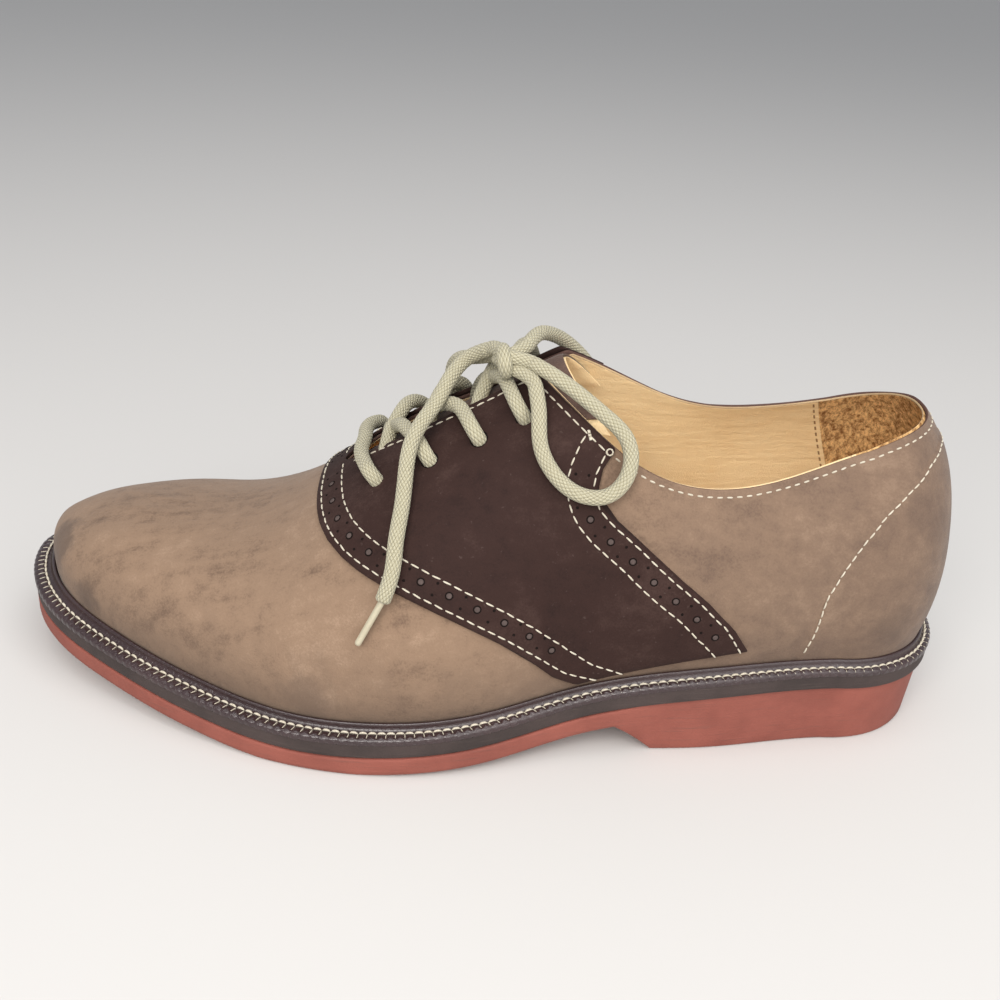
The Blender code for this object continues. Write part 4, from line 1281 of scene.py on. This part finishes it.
def addPunching(side, holes, floors, small):
    # large holes a pitch apart with a pair of small ones between them
    for column, foot, top, low, high in punching.values():
        place, t = bandLine(side, column, low, high, foot, top)
        points, normals = evenly(side, place, t, saddleTop, punchSizes["pitch"] / 2)
        _, across, _ = surfaceFrames(points, normals)
        for k, (point, normal) in enumerate(zip(points, normals)):
            if k % 2 == 0:
                holes.append((point, normal, punchSizes["rim"]))
                floors.append((point + normal * 0.00008, normal, punchSizes["floor"]))
            else:
                for sign in (-1, 1):
                    small.append((point + across[k] * punchSizes["apart"] * sign, normal, punchSizes["small"]))


def stitchedRing(side):
    # small stitched ring and bar tack at the rear corner of the saddle
    turn = np.linspace(0, 2 * math.pi, 9)
    lines = []
    for spot, wide, high in ((ringSpot, 1.0, 1.0), (tackSpot, 0.25, 1.5)):
        here, normal, perPlace, _ = surfaceNormal(
            side, np.array([spot["place"]]), np.array([spot["share"]]), saddleTop)
        first = unit(perPlace[0])
        second = np.cross(normal[0], first)
        reach = ringSpot["radius"]
        points = here + reach * (wide * np.cos(turn)[:, None] * first + high * np.sin(turn)[:, None] * second)
        lines.append((points, np.tile(normal, (len(turn), 1))))
    return lines


seamSet = {
    "saddleFoot": 0.052, "facingFrom": 0.012, "facingTo": 0.381, "facingDown": 0.0020,
    "collarFrom": 0.374, "collarDown": 0.0022, "heelU": 0.999, "counterTo": 0.157, "counterFoot": 0.03,
}


def makeSeams():
    saddleLines, collarLines, counterLines, tackLines = [], [], [], []
    holes, floors, small = [], [], []
    size = stitchSizes["saddle"]
    for side in (-1, 1):
        for column, low, high, foot, top, past in saddleRows.values():
            place, t = runOn(*bandLine(side, column, low, high, foot, top), seamSet["saddleFoot"], past)
            saddleLines.append(evenly(side, place, t, saddleTop, size["pitch"]))
        place, t = topEdgeLine(side, last["throat"] - seamSet["facingFrom"], seamSet["facingTo"],
                               seamSet["facingDown"], saddleTop)
        saddleLines.append(evenly(side, place, t, saddleTop, size["pitch"]))
        back = placeAt(seamSet["heelU"])
        place, t = topEdgeLine(side, seamSet["collarFrom"], back, seamSet["collarDown"], 0.0)
        collarLines.append(evenly(side, np.maximum(place, back), t, 0.0, stitchSizes["collar"]["pitch"]))
        place = np.linspace(back, seamSet["counterTo"], 300)
        t = np.clip(np.interp(place, counterLine[:, 0], counterLine[:, 1]), seamSet["counterFoot"], 1)
        counterLines.append(evenly(side, place, t, counterRise, stitchSizes["counter"]["pitch"]))
        addPunching(side, holes, floors, small)
        tackLines += stitchedRing(side)
    seams = {
        # lines, size, depth into the leather, slot
        "stitches_saddle": (saddleLines, "saddle", 0.1, "saddle"),
        "stitches_tack": (tackLines, "knot", 0.1, "saddle"),
        "stitches_collar": (collarLines, "collar", 0.2, "upper"),
        "stitches_counter": (counterLines, "counter", 0.2, "upper"),
    }
    for name, (lines, kind, sink, slot) in seams.items():
        assign(makeStitches(name, seamSpots(lines, stitchSizes[kind], sink), stitchSizes[kind]))
    # the near-black discs are painted shade in the holes; the floors show the lighter underlay
    for name, spots, look in (("punching_large", holes, "hole"), ("punching_floor", floors, "holeFloor"),
                              ("punching_small", small, "hole")):
        assign(makeHoles(name, spots, looks[look]))


makeSeams()


def weltLine(side, share):
    # a line on the shelf between the lip's foot and its outer edge
    u = evenRoundU(side, 900)
    s = section(side, u)
    height = last["clearance"] + sole["weltThickness"]
    rise = last["undercut"] * (height - last["clearance"]) / (s["lift"] - last["clearance"])
    inner = lastPoint(side, u, rise, weltSet["lipFoot"] * sole["lipWidth"] + wallGap)
    x, y, _ = edgePoint(side, u, soleOverhang(s["place"]) - sole["edgeRound"])
    outer = np.stack([x, y, s["foot"] + height], -1)
    x, y, _ = edgePoint(side, u, soleOverhang(s["place"]))
    edge = arcLengths(np.stack([x, y], -1))
    return inner * (1 - share) + outer * share, inner, outer, edge


def makeWeltStitches():
    lines, spokes = [], []
    size, up = stitchSizes["welt"], np.array([0.0, 0.0, 1.0])

    def spread(where, edge, points):
        return np.stack([np.interp(where, edge, points[:, k]) for k in range(3)], -1)

    for side in (-1, 1):
        points, inner, outer, edge = weltLine(side, weltSet["row"])
        even = spread(np.arange(size["pitch"] / 2, edge[-1], size["pitch"]), edge, points)
        lines.append((even, np.tile(up, (len(even), 1))))
        where = np.arange(size["pitch"], edge[-1], size["pitch"])
        for a, b in zip(spread(where, edge, inner), spread(where, edge, outer)):
            middle = a * (1 - weltSet["spokes"]) + b * weltSet["spokes"] - up * weltSet["bump"] * 0.30
            spokes.append((middle, unit(b - a), np.cross(up, unit(b - a)), up))
    assign(makeStitches("stitches_welt", seamSpots(lines, size, 0.0), size))
    assign(makeStitches("threads_welt", spokes, stitchSizes["spoke"]))


makeWeltStitches()
print("stitches and punching made")


# Lace: place, distance across, height over the last; the same lines as the solids
laceSet = {"diameter": 0.0047, "agletDiameter": 0.0020, "eyeletRadius": 0.0029, "round": 28,
           "step": 0.0006, "coarse": 0.0095, "relief": 0.00012, "crossRise": 0.0012, "crossWide": 0.006}
laceBar = np.array([
    [0.618, 0.0260, 0.0050], [0.626, 0.0200, 0.0050], [0.633, 0.0130, 0.0050],
    [0.635, 0.0055, 0.0046], [0.634, 0.0000, 0.0044],
])
crossings = {
    "lace_cross_1": np.array([
        [0.563, -0.0284, 0.0050], [0.571, -0.0229, 0.0050], [0.584, -0.0148, 0.0050], [0.592, -0.0090, 0.0046],
        [0.600, -0.0020, 0.0022], [0.606, 0.0030, 0.0010], [0.609, 0.0078, -0.0004],
    ]),
    "lace_cross_2": np.array([
        [0.514, -0.0278, 0.0050], [0.525, -0.0205, 0.0050], [0.536, -0.0135, 0.0050], [0.548, -0.0090, 0.0046],
        [0.556, -0.0030, 0.0022], [0.561, 0.0030, 0.0010], [0.565, 0.0078, -0.0004],
    ]),
    "lace_cross_3": np.array([
        [0.470, -0.0271, 0.0050], [0.482, -0.0183, 0.0050], [0.490, -0.0110, 0.0050],
        [0.499, -0.0030, 0.0022], [0.506, 0.0030, 0.0010], [0.513, 0.0078, -0.0004],
    ]),
}

# place, share round from the ridge, height over the last
freeCords = {
    "lace_loop_near": np.array([
        [0.463, -0.168, 0.0100], [0.447, -0.208, 0.0080], [0.416, -0.289, 0.0055], [0.392, -0.349, 0.0051],
        [0.370, -0.399, 0.0049], [0.363, -0.449, 0.0049], [0.368, -0.495, 0.0049], [0.386, -0.525, 0.0049],
        [0.406, -0.517, 0.0049], [0.425, -0.483, 0.0049], [0.443, -0.427, 0.0049], [0.453, -0.357, 0.0052],
        [0.455, -0.283, 0.0064], [0.459, -0.222, 0.0070],
    ]),
    "lace_end_near": np.array([
        [0.505, -0.055, 0.0138], [0.534, -0.028, 0.0125], [0.550, -0.096, 0.0110], [0.566, -0.162, 0.0100],
        [0.577, -0.216, 0.0112], [0.582, -0.271, 0.0084], [0.584, -0.361, 0.0051], [0.588, -0.457, 0.0049],
        [0.591, -0.543, 0.0049], [0.598, -0.593, 0.0049],
    ]),
    "lace_loop_far": np.array([
        [0.468, -0.085, 0.0095], [0.456, 0.000, 0.0070], [0.447, 0.090, 0.0053], [0.436, 0.180, 0.0050],
        [0.421, 0.270, 0.0050], [0.403, 0.350, 0.0049], [0.387, 0.420, 0.0049], [0.376, 0.490, 0.0049],
        [0.380, 0.555, 0.0049], [0.400, 0.575, 0.0049], [0.421, 0.530, 0.0049], [0.439, 0.440, 0.0049],
        [0.451, 0.340, 0.0050], [0.465, 0.150, 0.0056], [0.478, -0.045, 0.0058],
    ]),
    "lace_end_far": np.array([
        [0.503, -0.010, 0.0090], [0.520, 0.080, 0.0098], [0.534, 0.150, 0.0118], [0.543, 0.220, 0.0118],
        [0.544, 0.290, 0.0088], [0.541, 0.360, 0.0052], [0.543, 0.440, 0.0049], [0.547, 0.520, 0.0049],
        [0.554, 0.580, 0.0049], [0.563, 0.620, 0.0049],
    ]),
}
agletTips = {"lace_end_near": (0.621, -0.693, 0.0030), "lace_end_far": (0.592, 0.710, 0.0030)}


def overRidge(row):
    place, y, lift = row
    side = -1 if y < 0 else 1
    return lastPoint(side, placeU(place), shareAtY(side, placeU(place), y, lift), lift)


def roundSide(row):
    place, share, lift = row
    return lastPoint(-1 if share < 0 else 1, placeU(place), 1 - abs(share), lift)


def smoothLine(points, step):
    points = np.array(points)
    length = arcLengths(points)
    table = np.column_stack([length, points])
    where = np.linspace(0, length[-1], max(3, round(length[-1] / step) + 1))
    return np.column_stack([read(table, axis, where) for axis in (1, 2, 3)])


def makeTube(name, line, radius, look, relief=0.0):
    # a round cord swept along a line, with the braid's relief and its own map
    around = laceSet["round"]
    along = unit(np.gradient(line, axis=0))
    sides = [unit(np.cross(along[0], [0.0, 0.0, 1.0]))]
    for tangent in along[1:]:
        sides.append(unit(sides[-1] - tangent * (sides[-1] @ tangent)))
    sides = np.array(sides)
    ups = np.cross(along, sides)
    length = arcLengths(line)
    turn = np.linspace(0, 2 * math.pi, around + 1)
    count = turn * laceLook["strandsRound"] / 2
    phase = 2 * math.pi * length[:, None] / laceLook["pitch"]
    weave = np.abs(np.sin(count + phase)) * np.abs(np.sin(count - phase))
    edge = np.minimum(length, length[-1] - length)
    closing = np.clip(edge / (radius * 0.5), 0, 1)
    closing = np.sqrt(np.clip(1 - (1 - closing) ** 2, 0, 1)) * 0.25 + 0.75
    reach = (radius - relief + relief * weave) * closing[:, None]
    points = line[:, None] + reach[..., None] * (np.cos(turn)[None, :, None] * sides[:, None]
                                                 + np.sin(turn)[None, :, None] * ups[:, None])
    uv = np.stack(np.broadcast_arrays(turn[None, :] / (2 * math.pi), length[:, None]), -1)
    faces = gridFaces(len(line), around + 1).tolist()
    start = len(line) * (around + 1)
    tail = start - around - 1
    for i in range(around):
        faces += [[i, start, i + 1], [tail + i, tail + i + 1, start + 1]]
    points = np.vstack([points.reshape(-1, 3), line[0] - along[0] * radius * 0.15,
                        line[-1] + along[-1] * radius * 0.15])
    uv = np.vstack([uv.reshape(-1, 2), [[0.5, 0.0], [0.5, length[-1]]]])
    return addMesh(name, points, faces, look, uv=uv)


def makeBraided(name, line, node=None, thin=1.0):
    radius = laceSet["diameter"] / 2 * thin
    return assign(makeTube(name, line, radius, looks["braid"], laceSet["relief"]), node)


# back along the cord, and below the surface, for the route into the eyelet and for the eyelet
diveSet = {"back": 0.0012, "hole": 0.0030, "route": ((-0.0002, 0.0056), (0.0004, 0.0026), (-0.0016, 0.0003))}


def diveIn(first, second):
    # the cord bends over and goes down into its eyelet at the first point
    out = unit(first - second)
    place = 0.5 - first[0] / last["length"]
    side = -1 if first[1] < 0 else 1
    _, normal, _, _ = surfaceNormal(side, np.array(place), shareAtY(side, placeU(place), first[1], 0.005), 0.0)
    first = first - out * diveSet["back"]
    route = [first + out * ahead - normal * deep for ahead, deep in diveSet["route"]]
    return route, first - normal * diveSet["hole"], normal


def makeLacing():
    half = [overRidge(row) for row in laceBar * (1, -1, 1)]
    other = [overRidge(row) for row in laceBar[-2::-1]]
    near, nearHole, nearNormal = diveIn(half[0], half[1])
    far, farHole, farNormal = diveIn(other[-1], other[-2])
    eyelets = [(nearHole, nearNormal), (farHole, farNormal)]
    line = smoothLine(near + half[1:] + other[:-1] + far[::-1], laceSet["step"])
    makeBraided("lace_bar_braid", line, "lace_bar")
    for name, table in crossings.items():
        for which, flip in (("near", 1), ("far", -1)):
            lifted = table * (1, flip, 1)
            if which == "far":
                # the far cord crosses over the near one
                lifted[:, 2] += laceSet["crossRise"] * np.exp(-(table[:, 1] / laceSet["crossWide"]) ** 2)
            route = [overRidge(row) for row in lifted]
            dive, hole, normal = diveIn(route[0], route[1])
            eyelets.append((hole, normal))
            tail = lifted[-1]
            under = overRidge((tail[0] + 0.003, tail[1] + np.sign(tail[1]) * 0.0042, -0.0027))
            line = smoothLine(dive + route[1:] + [under], laceSet["step"])
            makeBraided(name + "_" + which, line, name if which == "near" else None)
    spots = [(hole, normal, laceSet["eyeletRadius"]) for hole, normal in eyelets]
    # dark discs at the eyelets: painted shade where the cord goes in
    assign(makeHoles("eyelets", spots, looks["hole"]))


makeLacing()

knotSet = {
    "centre": (0.4855, -0.130, 0.0118), "wrapWide": 0.0040, "wrapHigh": 0.0030, "wrapLean": 0.0014,
    "wrap": (-0.0012, 0.0, -0.0002), "over": (0.0, -0.0012, 0.0016), "under": (0.0010, -0.0010, -0.0018),
    "far": (-0.002, 0.0, 0.0), "thin": 0.97,
}


def cordEnd(name, atStart):
    # an end of a free cord, and the point a quarter of the way to its next one
    rows = freeCords[name][:2] if atStart else freeCords[name][:-3:-1]
    end, after = (roundSide(row) for row in rows)
    return end, end + (after - end) * 0.25


def throughKnot(first, second, middle):
    # a strand that carries on from one cord's end to another's through the knot
    (start, leadIn), (end, leadOut) = cordEnd(*first), cordEnd(*second)
    return smoothLine([leadIn, start, middle, end, leadOut], laceSet["step"])


def makeKnot():
    # one wrap round the strands that carry on through the middle of the bow
    centre = roundSide(knotSet["centre"])
    turn = np.linspace(-0.25 * math.pi, 1.95 * math.pi, 70)
    ring = np.stack([knotSet["wrapLean"] * (turn / math.pi - 1), knotSet["wrapWide"] * np.cos(turn),
                     knotSet["wrapHigh"] * np.sin(turn)], -1)
    lines = {"knot_wrap": centre + ring + np.array(knotSet["wrap"])}
    for name, first, second in (
            ("over", ("lace_end_near", True), ("lace_loop_near", True)),
            ("under", ("lace_loop_near", False), ("lace_end_far", True)),
            ("far", ("lace_loop_far", True), ("lace_loop_far", False))):
        lines["knot_" + name] = throughKnot(first, second, centre + np.array(knotSet[name]))
    return [makeBraided(name, line, "lace_knot" if name == "knot_wrap" else None, knotSet["thin"])
            for name, line in lines.items()]


knotPieces = makeKnot()


def makeFreeCords():
    for name, table in freeCords.items():
        coarse = smoothLine([roundSide(row) for row in table], laceSet["coarse"])
        line = smoothLine(coarse, laceSet["step"])
        piece = makeBraided(name + "_braid", line, name)
        if name in agletTips:
            end, tip = coarse[-1], roundSide(agletTips[name])
            start = end - unit(end - coarse[-2]) * laceSet["step"]
            tube = smoothLine([start, (start + tip) / 2, tip], laceSet["step"])
            node = name.replace("end", "aglet")
            aglet = makeTube(node + "_tip", tube, laceSet["agletDiameter"] / 2, looks["aglet"])
            assign(aglet, node)


makeFreeCords()
print("lace made")


# Floor and light
lights = {
    "key": {"place": (-0.30, -1.05, 0.85), "size": 0.8, "power": 15.5, "colour": (1.0, 0.96, 0.92)},
    "fill": {"place": (0.75, -0.95, 0.60), "size": 1.2, "power": 7.5, "colour": (1.0, 0.98, 0.95)},
    "top": {"place": (0.15, -0.40, 1.30), "size": 1.2, "power": 9.5, "colour": (1.0, 0.98, 0.96)},
}


stage = {
    "half": 6.0, "floor": (0.60, 0.59, 0.575, 1.0), "roughness": 0.9, "sky": (0.80, 0.82, 0.86, 1.0),
    "strength": 0.55, "aim": (0.0, 0.0, 0.05),
}


def makeStage():
    half = stage["half"]
    mesh = bpy.data.meshes.new("floor")
    corners = [(x * half, y * half, 0) for x, y in ((-1, -1), (1, -1), (1, 1), (-1, 1))]
    mesh.from_pydata(corners, [], [(0, 1, 2, 3)])
    made = bpy.data.materials.new("paleFloor")
    made.use_nodes = True
    surface = made.node_tree.nodes["Principled BSDF"]
    surface.inputs["Base Color"].default_value = stage["floor"]
    surface.inputs["Roughness"].default_value = stage["roughness"]
    mesh.materials.append(made)
    floor = bpy.data.objects.new("floor", mesh)
    scene.collection.objects.link(floor)
    world = bpy.data.worlds.new("studio")
    world.use_nodes = True
    sky = world.node_tree.nodes["Background"].inputs
    sky["Color"].default_value, sky["Strength"].default_value = stage["sky"], stage["strength"]
    scene.world = world
    for name, light in lights.items():
        data = bpy.data.lights.new(name, "AREA")
        data.size, data.energy, data.color = light["size"], light["power"], light["colour"]
        lamp = bpy.data.objects.new(name, data)
        lamp.location = light["place"]
        lamp.rotation_mode = "QUATERNION"
        lamp.rotation_quaternion = (Vector(light["place"]) - Vector(stage["aim"])).to_track_quat("Z", "Y")
        scene.collection.objects.link(lamp)
    scene.view_settings.view_transform = "Standard"


makeStage()
print("stage made")
